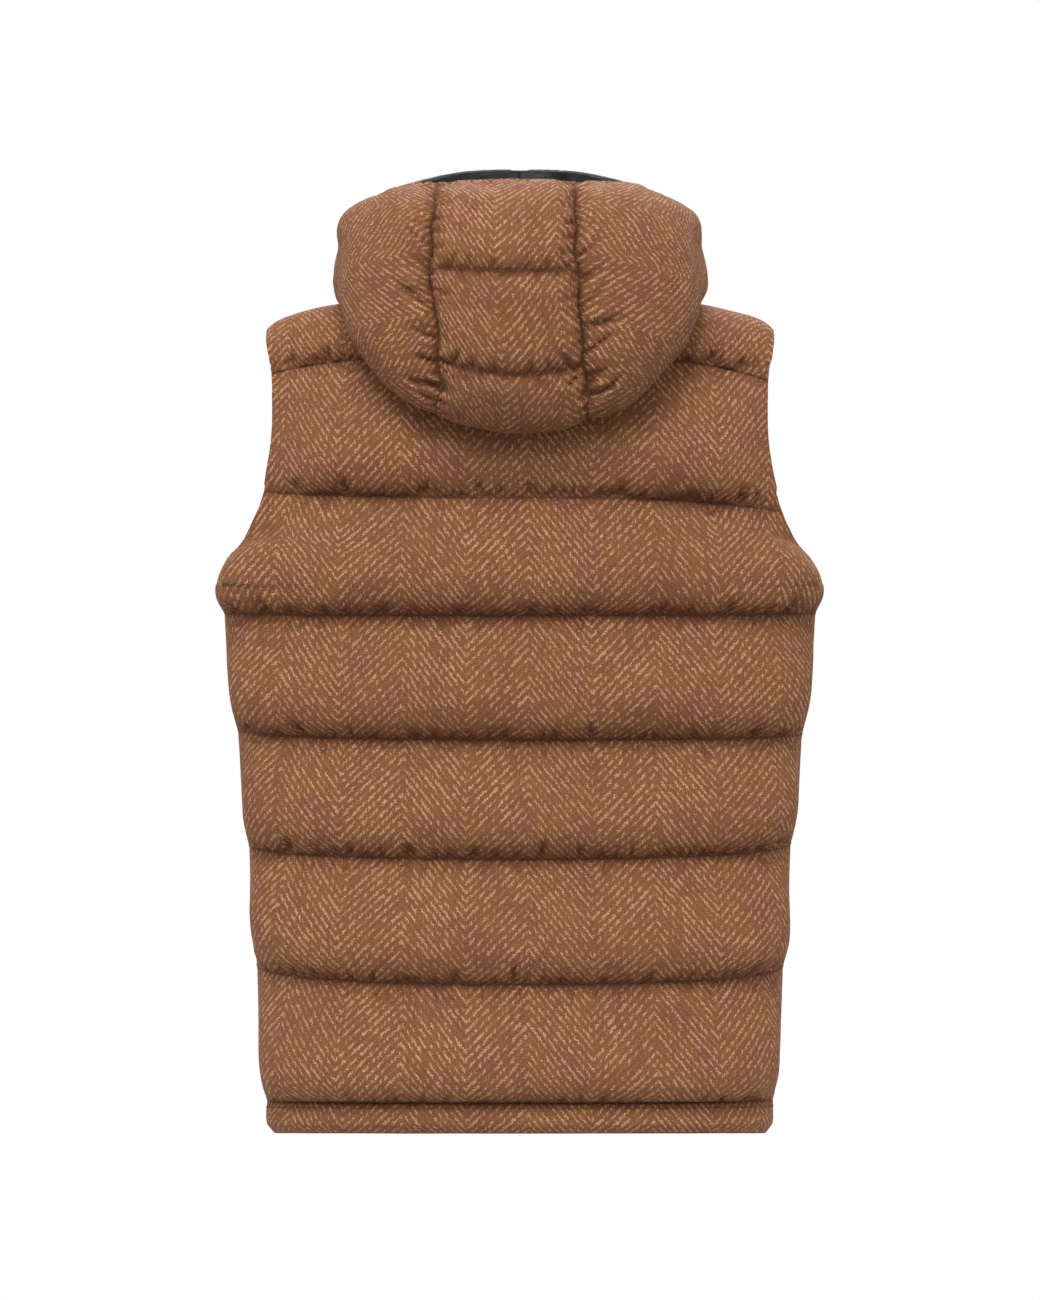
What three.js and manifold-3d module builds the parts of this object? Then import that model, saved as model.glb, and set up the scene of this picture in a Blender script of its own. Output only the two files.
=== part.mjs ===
// A hooded quilted gilet (padded body warmer), filled out as if worn, with no wearer in it.
// Units are millimetres. +Z is up, the garment's front faces -Y, and the wearer's left is +X.
// The origin is where the wearer carries it: the middle of the neck base, level with the neck
// ends of the shoulder seams. Every panel is a wall: a plain inner face, and an outer face that
// is raised between the quilting seams by the padding.
import * as THREE from "three";
import { mergeVertices } from "three/addons/utils/BufferGeometryUtils.js";
import Module from "manifold-3d";

// Driving sizes
const SEAM_GAP = 0.3; // between two pieces that are sewn together
const SEAM_WALL = 3.5; // wall where the quilting pins outer cloth, padding and inner cloth
const BODY_LOFT = 16; // how far the padding lifts the outer cloth between two seams
const LOFT_PEAK = 0.4; // height in a channel, from its lower seam, where the padding is fullest
const LOFT_FULLNESS = 0.75; // below 1 the channel is rounder than a half sine
const LOFT_SAG = 0.16; // how far a channel's outer cloth droops, as a share of its lift
const ZIP_OPENING = 6.5; // half the gap between the two fronts
const FADE_AT_SEAM = 85; // the padding thins out over this distance from a side edge
const FADE_AT_ZIP = 32;
const EDGE_LOFT = 0.12; // share of the padding that is left at a side seam
const ARMHOLE_LOFT = 0.24; // and at an armhole or the zip
const BODY_ROUNDNESS = 2.4; // exponent of the oval that a level of the body follows

// The levels of the body: one row for each quilting seam, from the hem to the yoke.
// channel: channels above the hem seam; leftZ, rightZ: height at the wearer's left and right
// edge; backZ, frontZ: height at the middle; halfWidth, backDepth, frontDepth: the inner face.
const LEVELS = [
  { channel: -1, leftZ: -686, rightZ: -686, backZ: -676, frontZ: -685,
    halfWidth: 200.8, backDepth: 106, frontDepth: 112 },
  { channel: 0, leftZ: -659, rightZ: -658, backZ: -651, frontZ: -658,
    halfWidth: 206.5, backDepth: 108, frontDepth: 114 },
  { channel: 1, leftZ: -545, rightZ: -546, backZ: -556, frontZ: -550,
    halfWidth: 215, backDepth: 106, frontDepth: 117 },
  { channel: 2, leftZ: -446, rightZ: -444, backZ: -455, frontZ: -450,
    halfWidth: 221.5, backDepth: 99, frontDepth: 118 },
  { channel: 3, leftZ: -350, rightZ: -354, backZ: -358, frontZ: -354,
    halfWidth: 231, backDepth: 97, frontDepth: 119 },
  { channel: 4, leftZ: -254, rightZ: -254, backZ: -257, frontZ: -257,
    halfWidth: 242, backDepth: 104, frontDepth: 117 },
  { channel: 4.25, leftZ: -231, rightZ: -231, backZ: -233, frontZ: -234,
    halfWidth: 247.5, backDepth: 106, frontDepth: 115 },
  { channel: 5, leftZ: -155, rightZ: -171, backZ: -162, frontZ: -168,
    halfWidth: 206, backDepth: 109, frontDepth: 103 },
  { channel: 6, leftZ: -59, rightZ: -65, backZ: -45, frontZ: -93,
    halfWidth: 201, backDepth: 91, frontDepth: 86 },
];
const UNDERARM = 4.25; // channel at which the side seam ends and the armhole starts
const YOKE = 6; // channel of the yoke seam, above which the cloth rolls over the shoulder
const SHOULDER = 7; // channel of the shoulder seam and the neckline

// The armhole, an oval in the side view whose edge follows the back's outline.
const ARMHOLE = { topZ: -17, bottomZ: -231, backDepth: 62, frontDepth: 57 };
const ARMHOLE_EDGE = [
  { z: -231, x: 247.5 },
  { z: -210, x: 234.2 },
  { z: -193, x: 222 },
  { z: -160, x: 208.5 },
  { z: -115, x: 199.5 },
  { z: -60, x: 203 },
  { z: -17, x: 207 },
];

// The shoulder seam and the neckline.
const SHOULDER_Y = 3;
const NECK_POINT = { x: 88, z: 1 }; // where the shoulder seam meets the neckline
const SHOULDER_TIP = { x: 207, z: -17 };
const NECK_BACK = { depth: 69, z: -6, dip: 1 };
const NECK_FRONT = { depth: 76, z: -62, dip: 1.7 }; // a higher dip keeps the low part narrower
const NECK_STRAIGHT = { back: 0.5, front: 1 }; // how straight the cloth runs up to the neckline
const YOKE_LOFT = 0.45; // share of the padding that is left in the yoke where the hood covers it
const NECK_SHARE = 5 / 12; // share of a panel's columns that end on the neckline

// The hood, lying back as a pouch behind the neck and closing in front as a collar.
// One row for each direction round the neck, in degrees from the middle of the back. A row holds
// radius R from the neck's axis and height Z of the points that the inner face runs through.
const HOOD = [
  { turn: 0, standR: 77, standZ: 26, underR: 112, underZ: -28, lowR: 141, lowZ: -99,
    crossLowR: 170, crossLowZ: -64, crossHighR: 177, crossHighZ: 14,
    crownR: 161, crownZ: 62, rimR: 124, rimZ: 90 },
  { turn: 30, standR: 82, standZ: 27, underR: 124, underZ: -24, lowR: 155, lowZ: -79,
    crossLowR: 180, crossLowZ: -44, crossHighR: 181, crossHighZ: 20,
    crownR: 163, crownZ: 63, rimR: 126, rimZ: 90 },
  { turn: 45, standR: 86, standZ: 28, underR: 128, underZ: -4, lowR: 158, lowZ: -42,
    crossLowR: 176, crossLowZ: -20, crossHighR: 172, crossHighZ: 28,
    crownR: 154, crownZ: 65, rimR: 126, rimZ: 90 },
  { turn: 60, standR: 90, standZ: 28, underR: 126, underZ: 14, lowR: 151, lowZ: 1,
    crossLowR: 162, crossLowZ: 13, crossHighR: 149, crossHighZ: 40,
    crownR: 144, crownZ: 65, rimR: 124, rimZ: 86 },
  { turn: 90, standR: 96, standZ: 28, underR: 114, underZ: 26, lowR: 129, lowZ: 25,
    crossLowR: 133, crossLowZ: 32, crossHighR: 131, crossHighZ: 49,
    crownR: 130, crownZ: 69, rimR: 115, rimZ: 88 },
  { turn: 120, standR: 94, standZ: 8, underR: 104, underZ: 18, lowR: 112, lowZ: 27,
    crossLowR: 118, crossLowZ: 38, crossHighR: 121, crossHighZ: 56,
    crownR: 115, crownZ: 80, rimR: 103, rimZ: 106 },
  { turn: 150, standR: 84, standZ: -24, underR: 89, underZ: -6, lowR: 94, lowZ: 11,
    crossLowR: 98, crossLowZ: 30, crossHighR: 101, crossHighZ: 54,
    crownR: 100, crownZ: 88, rimR: 94, rimZ: 119.5 },
  { turn: 180, standR: 78, standZ: -36, underR: 80, underZ: -14, lowR: 83, lowZ: 8,
    crossLowR: 86, crossLowZ: 30, crossHighR: 89, crossHighZ: 56,
    crownR: 90, crownZ: 89, rimR: 87, rimZ: 122 },
];
const HOOD_STOPS = ["stand", "under", "low", "crossLow", "crossHigh", "crown", "rim"];
// How far the hood's lower edge stands above the neckline, over the wall that it is sewn to.
const HOOD_LIFT = [
  { turn: 0, lift: 4 },
  { turn: 45, lift: 5 },
  { turn: 90, lift: 5.5 },
  { turn: 120, lift: 8 },
  { turn: 150, lift: 6.5 },
  { turn: 180, lift: 1.5 },
];
// The middle panel's half width and its drift towards the wearer's left, and the padding's
// thickness, at each point of the way from the neck (first) to the rim (last).
const HOOD_WAY = [
  { stop: 0, half: 38, drift: 0, wall: 3.5 },
  { stop: 1, half: 40, drift: 0, wall: 4 },
  { stop: 2, half: 48, drift: 1, wall: 6 },
  { stop: 3, half: 56, drift: 4, wall: 12 },
  { stop: 4, half: 57, drift: 6, wall: 13 },
  { stop: 5, half: 57, drift: 12, wall: 14 },
  { stop: 6, half: 56, drift: 12, wall: 13 },
  { stop: 7, half: 54, drift: 12, wall: 8 },
];
const HOOD_CROSS_SEAMS = [4, 5]; // stops where the middle panel is quilted across
const HOOD_PINCH = 16; // the padding rises to its full height over this distance from a seam
const LINING_WALL = 1.5;

// The front zip and its slider.
const ZIP = {
  chainHalf: 2.9,
  chainInner: 0.6,
  chainOuter: 3.4,
  chainIntoSlider: 2, // how far above the slider's middle the chain ends
  tapeInner: 1.1,
  tapeOuter: 2.6,
  bottomChannel: -0.96,
};
const SLIDER = { width: 8.6, length: 12, plate: 1.4, belowRim: 9, clearance: 0.35 };
const PULL = {
  barRadius: 1,
  eyeRadius: 1.5,
  archHalf: 1,
  archWall: 1.5,
  window: 4.6,
  arm: 1.6,
  width: 7.2,
  length: 30,
  thickness: 1.8,
};

// Mesh density
const COLUMNS = 24; // across the back, and half of it across each front
const CHANNEL_ROWS = [0, 0.09, 0.26, 0.5, 0.76, 0.93]; // rows of an outer face in one channel
const HOOD_ROWS = [
  0, 0.6, 1, 1.6, 2.2, 2.7, 2.9, 3.05, 3.2, 3.4, 3.7, 4, 4.2, 4.6, 4.8, 5, 5.2, 5.6, 6, 6.4, 6.75, 7,
];
const HOOD_INNER_ROWS = [0, 0.6, 1, 1.6, 2.2, 2.7, 3, 3.3, 4, 4.5, 5, 5.5, 6, 6.5, 7];
const HOOD_SIDE_COLUMNS = 18;
const HOOD_MIDDLE_COLUMNS = 8;

const mix = (a, b, t) => a + (b - a) * t;
const clamp01 = (t) => Math.min(1, Math.max(0, t));
const smooth = (t) => clamp01(t) ** 2 * (3 - 2 * clamp01(t));
const radians = THREE.MathUtils.degToRad;

/** A column of a table at a place between its rows, on a smooth curve through them. */
function between(rows, key, column, at) {
  const last = rows.length - 1;
  let i = 0;
  while (i < last - 1 && at > rows[i + 1][key]) i++;
  const [a, b] = [rows[i], rows[i + 1]];
  const [before, after] = [rows[Math.max(0, i - 1)], rows[Math.min(last, i + 2)]];
  const span = b[key] - a[key];
  const t = clamp01((at - a[key]) / span);
  const slope = (p, q) => (q[key] === p[key] ? 0 : ((q[column] - p[column]) / (q[key] - p[key])) * span);
  const [m0, m1] = [slope(before, b), slope(a, after)];
  return (
    a[column] * (2 * t ** 3 - 3 * t ** 2 + 1) +
    m0 * (t ** 3 - 2 * t ** 2 + t) +
    b[column] * (3 * t ** 2 - 2 * t ** 3) +
    m1 * (t ** 3 - t ** 2)
  );
}

/** Radius and height of the neckline at an angle from the back (0) to the front (180). */
function neckline(turn) {
  const edge = Math.abs(turn) <= 90 ? NECK_BACK : NECK_FRONT;
  const [across, along] = [Math.sin(radians(turn)) / NECK_POINT.x, Math.cos(radians(turn)) / edge.depth];
  const r = 1 / Math.hypot(across, along);
  return { r, z: mix(NECK_POINT.z, edge.z, Math.abs(along * r) ** (2 * edge.dip)) };
}

/** The armhole's edge at a height: its distance from the middle and from the side seam's plane. */
function armholeEdge(z, back) {
  const middle = (ARMHOLE.topZ + ARMHOLE.bottomZ) / 2;
  const half = (ARMHOLE.topZ - ARMHOLE.bottomZ) / 2;
  const share = Math.sqrt(Math.max(0, 1 - ((z - middle) / half) ** 2));
  const depth = back ? ARMHOLE.backDepth : ARMHOLE.frontDepth;
  return { x: between(ARMHOLE_EDGE, "z", "x", z), y: depth * share };
}

/**
 * A point of the body's inner face.
 * @param {boolean} back the back, or else a front
 * @param {number} across -1 at the wearer's right edge, 0 in the middle, 1 at the left edge
 * @param {number} channel height in channels above the hem seam, up to the yoke seam
 */
function levelPoint(back, across, channel) {
  const side = back ? 1 : -1;
  const edgeZ = between(LEVELS, "channel", across > 0 ? "leftZ" : "rightZ", channel);
  const middleZ = between(LEVELS, "channel", back ? "backZ" : "frontZ", channel);
  const depth = between(LEVELS, "channel", back ? "backDepth" : "frontDepth", channel);
  const inArmhole = channel > UNDERARM;
  const edge = inArmhole
    ? armholeEdge(edgeZ, back)
    : { x: between(LEVELS, "channel", "halfWidth", channel), y: 0 };
  const sweep = radians(90 - 36 * smooth((channel - UNDERARM) / (5 - UNDERARM)));
  const power = 2 / BODY_ROUNDNESS;
  const turn = Math.abs(across) * sweep;
  const rim = Math.max(0, Math.cos(sweep)) ** power;
  const share = (Math.max(0, Math.cos(turn)) ** power - rim) / (1 - rim);
  const x = Math.sign(across) * edge.x * (Math.sin(turn) / Math.sin(sweep)) ** power;
  const y = mix(edge.y + SEAM_GAP / 2, depth, share);
  return new THREE.Vector3(x, side * y, mix(middleZ, edgeZ, across * across));
}

/** A point of a panel's top edge: the neckline near the middle, and the shoulder seam beyond it. */
function topPoint(back, across) {
  const side = back ? 1 : -1;
  const share = Math.abs(across) / NECK_SHARE;
  if (share <= 1) {
    const turn = radians(90 * share);
    const edge = back ? NECK_BACK : NECK_FRONT;
    const z = mix(NECK_POINT.z, edge.z, Math.cos(turn) ** (2 * edge.dip));
    const y = SHOULDER_Y + side * (SEAM_GAP / 2 + edge.depth * Math.cos(turn));
    return new THREE.Vector3(Math.sign(across) * NECK_POINT.x * Math.sin(turn), y, z);
  }
  const along = (Math.abs(across) - NECK_SHARE) / (1 - NECK_SHARE);
  const x = mix(NECK_POINT.x, SHOULDER_TIP.x, along);
  const z = mix(NECK_POINT.z, SHOULDER_TIP.z, 0.4 * along + 0.6 * along ** 2.2);
  return new THREE.Vector3(Math.sign(across) * x, SHOULDER_Y + (side * SEAM_GAP) / 2, z);
}

/** A point of the body's inner face at any height, up to the shoulder seam. */
function bodyPoint(back, across, channel) {
  if (channel <= YOKE) return levelPoint(back, across, channel);
  const share = channel - YOKE;
  const roll = (share * Math.PI) / 2;
  const middle = 1 - smooth(Math.abs(across) / NECK_SHARE);
  const straight = (back ? NECK_STRAIGHT.back : NECK_STRAIGHT.front) * middle;
  const [low, top] = [levelPoint(back, across, YOKE), topPoint(back, across)];
  return new THREE.Vector3(
    mix(low.x, top.x, share),
    mix(low.y, top.y, mix(1 - Math.cos(roll), share, straight)),
    mix(low.z, top.z, mix(Math.sin(roll), share, straight)),
  );
}

/** The place across a front where the cloth ends beside the zip. */
function zipEdge(channel) {
  const at = (across) => bodyPoint(false, across, channel).x;
  let [low, high] = [0, 0.2];
  for (let i = 0; i < 40; i++) {
    const middle = (low + high) / 2;
    if (at(middle) < ZIP_OPENING) low = middle;
    else high = middle;
  }
  return (low + high) / 2;
}

/** How full a quilted channel is at a height in it, from 0 at a seam to 1. */
function loftShape(share) {
  const skew = Math.log(0.5) / Math.log(LOFT_PEAK);
  return Math.max(0, Math.sin(Math.PI * clamp01(share) ** skew)) ** LOFT_FULLNESS;
}

/** Unit normal of a surface given by a function of two values, pointing away from an axis point. */
function outwardNormal(point, a, b, step, away) {
  const along = point(a + step.a, b).sub(point(a - step.a, b));
  const up = point(a, b + step.b).sub(point(a, b - step.b));
  const normal = along.cross(up).normalize();
  return normal.dot(away) < 0 ? normal.negate() : normal;
}

/** The outer face's point over a point of the body's inner face. */
function bodyOuter(back, across, channel, atZip) {
  const inner = bodyPoint(back, across, channel);
  const a = THREE.MathUtils.clamp(across, -0.995, 0.995);
  const b = THREE.MathUtils.clamp(channel, -0.99, SHOULDER - 0.01);
  const away = new THREE.Vector3(inner.x, inner.y * 2, channel > YOKE ? 60 : 0);
  const normal = outwardNormal((s, v) => bodyPoint(back, s, v), a, b, { a: 0.005, b: 0.01 }, away);
  const onSideSeam = Math.abs(across) > 0.999 && channel <= UNDERARM;
  const onShoulder = channel === SHOULDER && Math.abs(across) >= NECK_SHARE;
  if (onSideSeam || onShoulder) normal.y = 0;
  if (atZip) normal.x = 0;
  normal.normalize();
  const reach = bodyPoint(back, 1, channel).x;
  const fromEdge = (1 - Math.abs(across)) * reach;
  const edgeLoft = channel > UNDERARM ? ARMHOLE_LOFT : EDGE_LOFT;
  let share = mix(edgeLoft, 1, smooth(fromEdge / FADE_AT_SEAM));
  if (!back) share *= mix(ARMHOLE_LOFT, 1, smooth((Math.abs(inner.x) - ZIP_OPENING) / FADE_AT_ZIP));
  if (channel > YOKE) share *= mix(YOKE_LOFT, 1, smooth((Math.abs(inner.x) - 110) / 75));
  const floor = Math.floor(channel);
  const lift = BODY_LOFT * share * loftShape(channel >= SHOULDER ? 1 : channel - floor);
  const outer = inner.clone().addScaledVector(normal, SEAM_WALL + lift);
  outer.z -= LOFT_SAG * lift;
  return outer;
}

/**
 * A closed wall between an outer and an inner grid of points.
 * The inner grid may have fewer rows and columns. Where its rows aren't evenly among the outer ones,
 * outerAt and innerAt say how far along each row lies.
 */
function wallGeometry(outer, inner, outerAt = shares(outer), innerAt = shares(inner)) {
  const positions = [];
  const add = (grid) => grid.map((row) => row.map((p) => positions.push(p.x, p.y, p.z) / 3 - 1));
  const [out, into] = [add(outer), add(inner)];
  const faces = [];
  const skin = (grid, flip) => {
    for (let i = 0; i + 1 < grid.length; i++)
      for (let j = 0; j + 1 < grid[i].length; j++) {
        const [a, b, c, d] = [grid[i][j], grid[i][j + 1], grid[i + 1][j + 1], grid[i + 1][j]];
        faces.push(...(flip ? [a, c, b, a, d, c] : [a, b, c, a, c, d]));
      }
  };
  skin(out, false);
  skin(into, true);
  const [first, last] = [(row) => row[0], (row) => row[row.length - 1]];
  const edge = (o, n, flip, oAt = shares(o), nAt = shares(n)) => {
    let [i, j] = [0, 0];
    while (i < o.length - 1 || j < n.length - 1) {
      const outerIsNext = oAt[i] + oAt[i + 1] <= nAt[j] + nAt[j + 1];
      const stepOuter = j === n.length - 1 || (i < o.length - 1 && outerIsNext);
      const face = stepOuter ? [o[i], n[j], o[++i]] : [o[i], n[j], n[++j]];
      faces.push(...(flip ? face.reverse() : face));
    }
  };
  edge(first(out), first(into), false);
  edge(last(out), last(into), true);
  edge(out.map(first), into.map(first), true, outerAt, innerAt);
  edge(out.map(last), into.map(last), false, outerAt, innerAt);
  const geometry = new THREE.BufferGeometry();
  geometry.setAttribute("position", new THREE.Float32BufferAttribute(positions, 3));
  geometry.setIndex(signedVolume(positions, faces) < 0 ? faces.reverse() : faces);
  geometry.computeVertexNormals();
  return geometry;
}

/** How far along a list each of its items lies, from 0 to 1. */
function shares(list) {
  return list.map((_, i) => i / (list.length - 1));
}

/** Signed volume inside triangles, which is negative if they face inwards. */
function signedVolume(positions, faces) {
  const at = (i) => new THREE.Vector3().fromArray(positions, 3 * i);
  let sum = 0;
  for (let i = 0; i < faces.length; i += 3) {
    sum += at(faces[i]).dot(at(faces[i + 1]).cross(at(faces[i + 2])));
  }
  return sum / 6;
}

const cloth = new THREE.MeshStandardMaterial({ color: 0x8a5c42, roughness: 0.85, metalness: 0 });
const lining = new THREE.MeshStandardMaterial({ color: 0x15161a, roughness: 0.6, metalness: 0 });
const tape = new THREE.MeshStandardMaterial({ color: 0x1c1b1c, roughness: 0.8, metalness: 0 });
const metal = new THREE.MeshStandardMaterial({ color: 0x3a3836, roughness: 0.35, metalness: 1 });

const garment = new THREE.Group();
function addPiece(name, geometry, material) {
  const mesh = new THREE.Mesh(geometry, material);
  mesh.name = name;
  garment.add(mesh);
  return mesh;
}

const steps = (from, to, count) => Array.from({ length: count + 1 }, (_, i) => mix(from, to, i / count));

/** Rows of the outer face and of the plain inner face, between two channels. */
const outerRows = [
  ...LEVELS.filter((level) => Number.isInteger(level.channel) && level.channel >= 0).flatMap((level) =>
    CHANNEL_ROWS.map((share) => level.channel + share),
  ),
  SHOULDER,
];
const innerRows = [0, 1, 2, 3, 4, UNDERARM, 4.5, 4.75, 5, 5.5, YOKE, 6.33, 6.67, SHOULDER];

/** Columns of a front, from the zip to the side seam, with one on the neck point. */
const frontColumns = (channel) => [zipEdge(channel), ...steps(0, 1, COLUMNS / 2).slice(1)];
const halved = (columns) => columns.filter((_, i) => i % 2 === 0);

function makeBack() {
  const columns = steps(-1, 1, COLUMNS);
  const outer = outerRows.map((v) => columns.map((s) => bodyOuter(true, s, v)));
  const inner = innerRows.map((v) => halved(columns).map((s) => bodyPoint(true, s, v)));
  addPiece("back", wallGeometry(outer, inner, outerRows, innerRows), cloth);
}

function makeFront(name, side) {
  const row = (v, place) => frontColumns(v).map((s, i) => place(side * s, v, i === 0));
  const outer = outerRows.map((v) => row(v, (s, channel, atZip) => bodyOuter(false, s, channel, atZip)));
  const inner = innerRows.map((v) => halved(row(v, (s, channel) => bodyPoint(false, s, channel))));
  addPiece(name, wallGeometry(outer, inner, outerRows, innerRows), cloth);
}

// The hem band, a narrow padded channel below the hem seam.
const BAND = { loft: 6, rows: [0, 0.1, 0.35, 0.65, 0.9, 1], top: -0.012 };

function bandGrid(back, columns, atZip) {
  const channel = (share) => mix(-1, BAND.top, share);
  const outer = BAND.rows.map((share) =>
    columns.map((s, i) => {
      const point = bodyOuter(back, s, channel(share), atZip && i === 0);
      const inner = bodyPoint(back, s, channel(share));
      const direction = point.sub(inner).setZ(0).normalize();
      return inner.addScaledVector(direction, SEAM_WALL + BAND.loft * Math.sin(Math.PI * share) ** 0.7);
    }),
  );
  const inner = [0, 1].map((share) => halved(columns).map((s) => bodyPoint(back, s, channel(share))));
  return wallGeometry(outer, inner);
}

function makeBand() {
  addPiece("hem_band_back", bandGrid(true, steps(-1, 1, COLUMNS), false), cloth);
  for (const [name, side] of [["hem_band_front_left", 1], ["hem_band_front_right", -1]])
    addPiece(name, bandGrid(false, frontColumns(-0.5).map((s) => side * s), true), cloth);
}

/** A point of the hood's inner face: turn in degrees from the back, way in stops from neck to rim. */
function hoodPoint(turn, way) {
  const mirrored = Math.abs(turn);
  const neck = neckline(mirrored);
  const profile = [
    new THREE.Vector2(neck.r, neck.z + between(HOOD_LIFT, "turn", "lift", mirrored)),
    ...HOOD_STOPS.map(
      (stop) => new THREE.Vector2(hoodColumn(stop + "R", mirrored), hoodColumn(stop + "Z", mirrored)),
    ),
  ];
  const at = new THREE.SplineCurve(profile).getPoint(clamp01(way / HOOD_STOPS.length));
  const direction = radians(turn);
  return new THREE.Vector3(at.x * Math.sin(direction), SHOULDER_Y + at.x * Math.cos(direction), at.y);
}

/** A column of the hood's table, smooth and level across the middle of the back and of the front. */
function hoodColumn(column, turn) {
  const beyond = (row, turned) => ({ ...row, turn: turned });
  const beforeLast = HOOD[HOOD.length - 2];
  const rows = [beyond(HOOD[1], -HOOD[1].turn), ...HOOD, beyond(beforeLast, 360 - beforeLast.turn)];
  return between(rows, "turn", column, turn);
}

const hoodWay = (column, way) => between(HOOD_WAY, "stop", column, way);

/** The turn at which the hood's inner face is a given distance to the left of the middle. */
function turnAt(x, way, front) {
  let [low, high] = front ? [90, 180] : [-90, 90];
  for (let i = 0; i < 40; i++) {
    const middle = (low + high) / 2;
    const beyond = hoodPoint(middle, way).x > x;
    if (beyond === !front) high = middle;
    else low = middle;
  }
  return (low + high) / 2;
}

/** The hood's outer point, a given thickness out from its inner face. */
function hoodOffset(turn, way, distance, atZip) {
  const inner = hoodPoint(turn, way);
  const w = THREE.MathUtils.clamp(way, 0.03, HOOD_STOPS.length - 0.03);
  const along = hoodPoint(turn + 0.5, w).sub(hoodPoint(turn - 0.5, w));
  const up = hoodPoint(turn, w + 0.03).sub(hoodPoint(turn, w - 0.03));
  const normal = up.cross(along).normalize();
  if (atZip) normal.x = 0;
  if (way === 0) normal.z = 0;
  return inner.addScaledVector(normal.normalize(), distance);
}

/** Wall of the hood at a distance from the nearest lengthwise seam and, if given, cross seams. */
function hoodWall(way, fromSeam, crossed) {
  const full = hoodWay("wall", way);
  let rise = smooth(0.15 + (0.85 * fromSeam) / HOOD_PINCH);
  if (crossed)
    for (const seam of HOOD_CROSS_SEAMS) rise *= mix(0.35, 1, smooth(Math.abs(way - seam) / 0.28));
  return mix(Math.min(SEAM_WALL, full), full, rise);
}

/** Where a column of the middle panel lies: s is -1 at its right seam and 1 at its left one. */
function middleColumn(way, s) {
  const half = hoodWay("half", way) - SEAM_GAP / 2;
  return { turn: turnAt(hoodWay("drift", way) + s * half, way, false), fromSeam: half * (1 - Math.abs(s)) };
}

/** Where a column of a side panel lies: t is 0 at the middle panel and 1 at the zip. */
function sideColumn(way, t, side) {
  const from = turnAt(hoodWay("half", way) + SEAM_GAP / 2 + side * hoodWay("drift", way), way, false);
  const turn = mix(from, turnAt(ZIP_OPENING, way, true), t);
  const point = hoodPoint(turn, way);
  return { turn: side * turn, fromSeam: radians(turn - from) * Math.hypot(point.x, point.y) };
}

const middleColumns = steps(-1, 1, HOOD_MIDDLE_COLUMNS);
const sideColumns = steps(0, 1, HOOD_SIDE_COLUMNS).map((t) => mix(t, t * t, 0.25));

function makeHoodMiddle() {
  const outer = HOOD_ROWS.map((way) =>
    middleColumns.map((s) => {
      const at = middleColumn(way, s);
      return hoodOffset(at.turn, way, hoodWall(way, at.fromSeam, true), false);
    }),
  );
  const inner = HOOD_INNER_ROWS.map((way) =>
    halved(middleColumns).map((s) => hoodPoint(middleColumn(way, s).turn, way)),
  );
  addPiece("hood_middle", wallGeometry(outer, inner, HOOD_ROWS, HOOD_INNER_ROWS), cloth);
}

function makeHoodSide(name, side) {
  const rightToLeft = (columns) => (side > 0 ? columns : [...columns].reverse());
  const outer = HOOD_ROWS.map((way) =>
    rightToLeft(sideColumns).map((t) => {
      const at = sideColumn(way, t, side);
      return hoodOffset(at.turn, way, hoodWall(way, at.fromSeam, false), t === 1);
    }),
  );
  const inner = HOOD_INNER_ROWS.map((way) =>
    rightToLeft(halved(sideColumns)).map((t) => hoodPoint(sideColumn(way, t, side).turn, way)),
  );
  addPiece(name, wallGeometry(outer, inner, HOOD_ROWS, HOOD_INNER_ROWS), cloth);
}

/** The hood's black lining. Its columns are those of the panels' inner faces, so that it lies on them. */
function makeLining() {
  const turns = (way) => [
    ...halved(sideColumns).map((t) => sideColumn(way, t, -1).turn).reverse(),
    ...halved(middleColumns).map((s) => middleColumn(way, s).turn),
    ...halved(sideColumns).map((t) => sideColumn(way, t, 1).turn),
  ];
  const face = (distance) =>
    HOOD_INNER_ROWS.map((way) =>
      turns(way).map((turn, i, all) => hoodOffset(turn, way, -distance, i === 0 || i === all.length - 1)),
    );
  addPiece("hood_lining", wallGeometry(face(SEAM_GAP + 0.1), face(SEAM_GAP + LINING_WALL)), lining);
}

/** The middle of the front from hem to rim, as points of the inner face. */
function zipLine() {
  const body = steps(ZIP.bottomChannel, SHOULDER, 30).map((channel) => bodyPoint(false, 0, channel));
  const collar = steps(0.25, HOOD_STOPS.length, 12).map((way) => hoodPoint(180, way));
  return [...body, ...collar].map((p) => new THREE.Vector3(0, p.y, p.z));
}

/** Points of the middle of the front, each with the way outwards. */
function outwards(points) {
  return points.map((p, i) => {
    const along = points[Math.min(points.length - 1, i + 1)].clone().sub(points[Math.max(0, i - 1)]);
    return { p, out: new THREE.Vector3(0, -along.z, along.y).normalize() };
  });
}

/** Where the slider sits below the zip's top: its tilt, and the point a distance up its axis. */
function sliderPlace(line) {
  const [top, below] = [line[line.length - 1], line[line.length - 3]];
  const tilt = Math.atan2(top.y - below.y, top.z - below.z);
  const centre = top.clone().add(new THREE.Vector3(0, 0, -SLIDER.belowRim - SLIDER.length / 2));
  const nearer = (best, p) => (Math.abs(p.z - centre.z) < Math.abs(best.z - centre.z) ? p : best);
  const from = line.reduce(nearer);
  centre.y = from.y + (centre.z - from.z) * Math.tan(tilt);
  const axis = new THREE.Vector3(0, Math.sin(tilt), Math.cos(tilt));
  return { tilt, at: (distance) => centre.clone().addScaledVector(axis, distance) };
}

/** A strip along the zip line, between two distances across it and two distances out from it. */
function stripGeometry(line, fromX, toX, inner, outer) {
  const place = (x, distance) => line.map(({ p, out }) => p.clone().addScaledVector(out, distance).setX(x));
  const columns = [place(fromX, outer), place(toX, outer)];
  const backs = [place(fromX, inner), place(toX, inner)];
  return wallGeometry(columns, backs);
}

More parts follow.
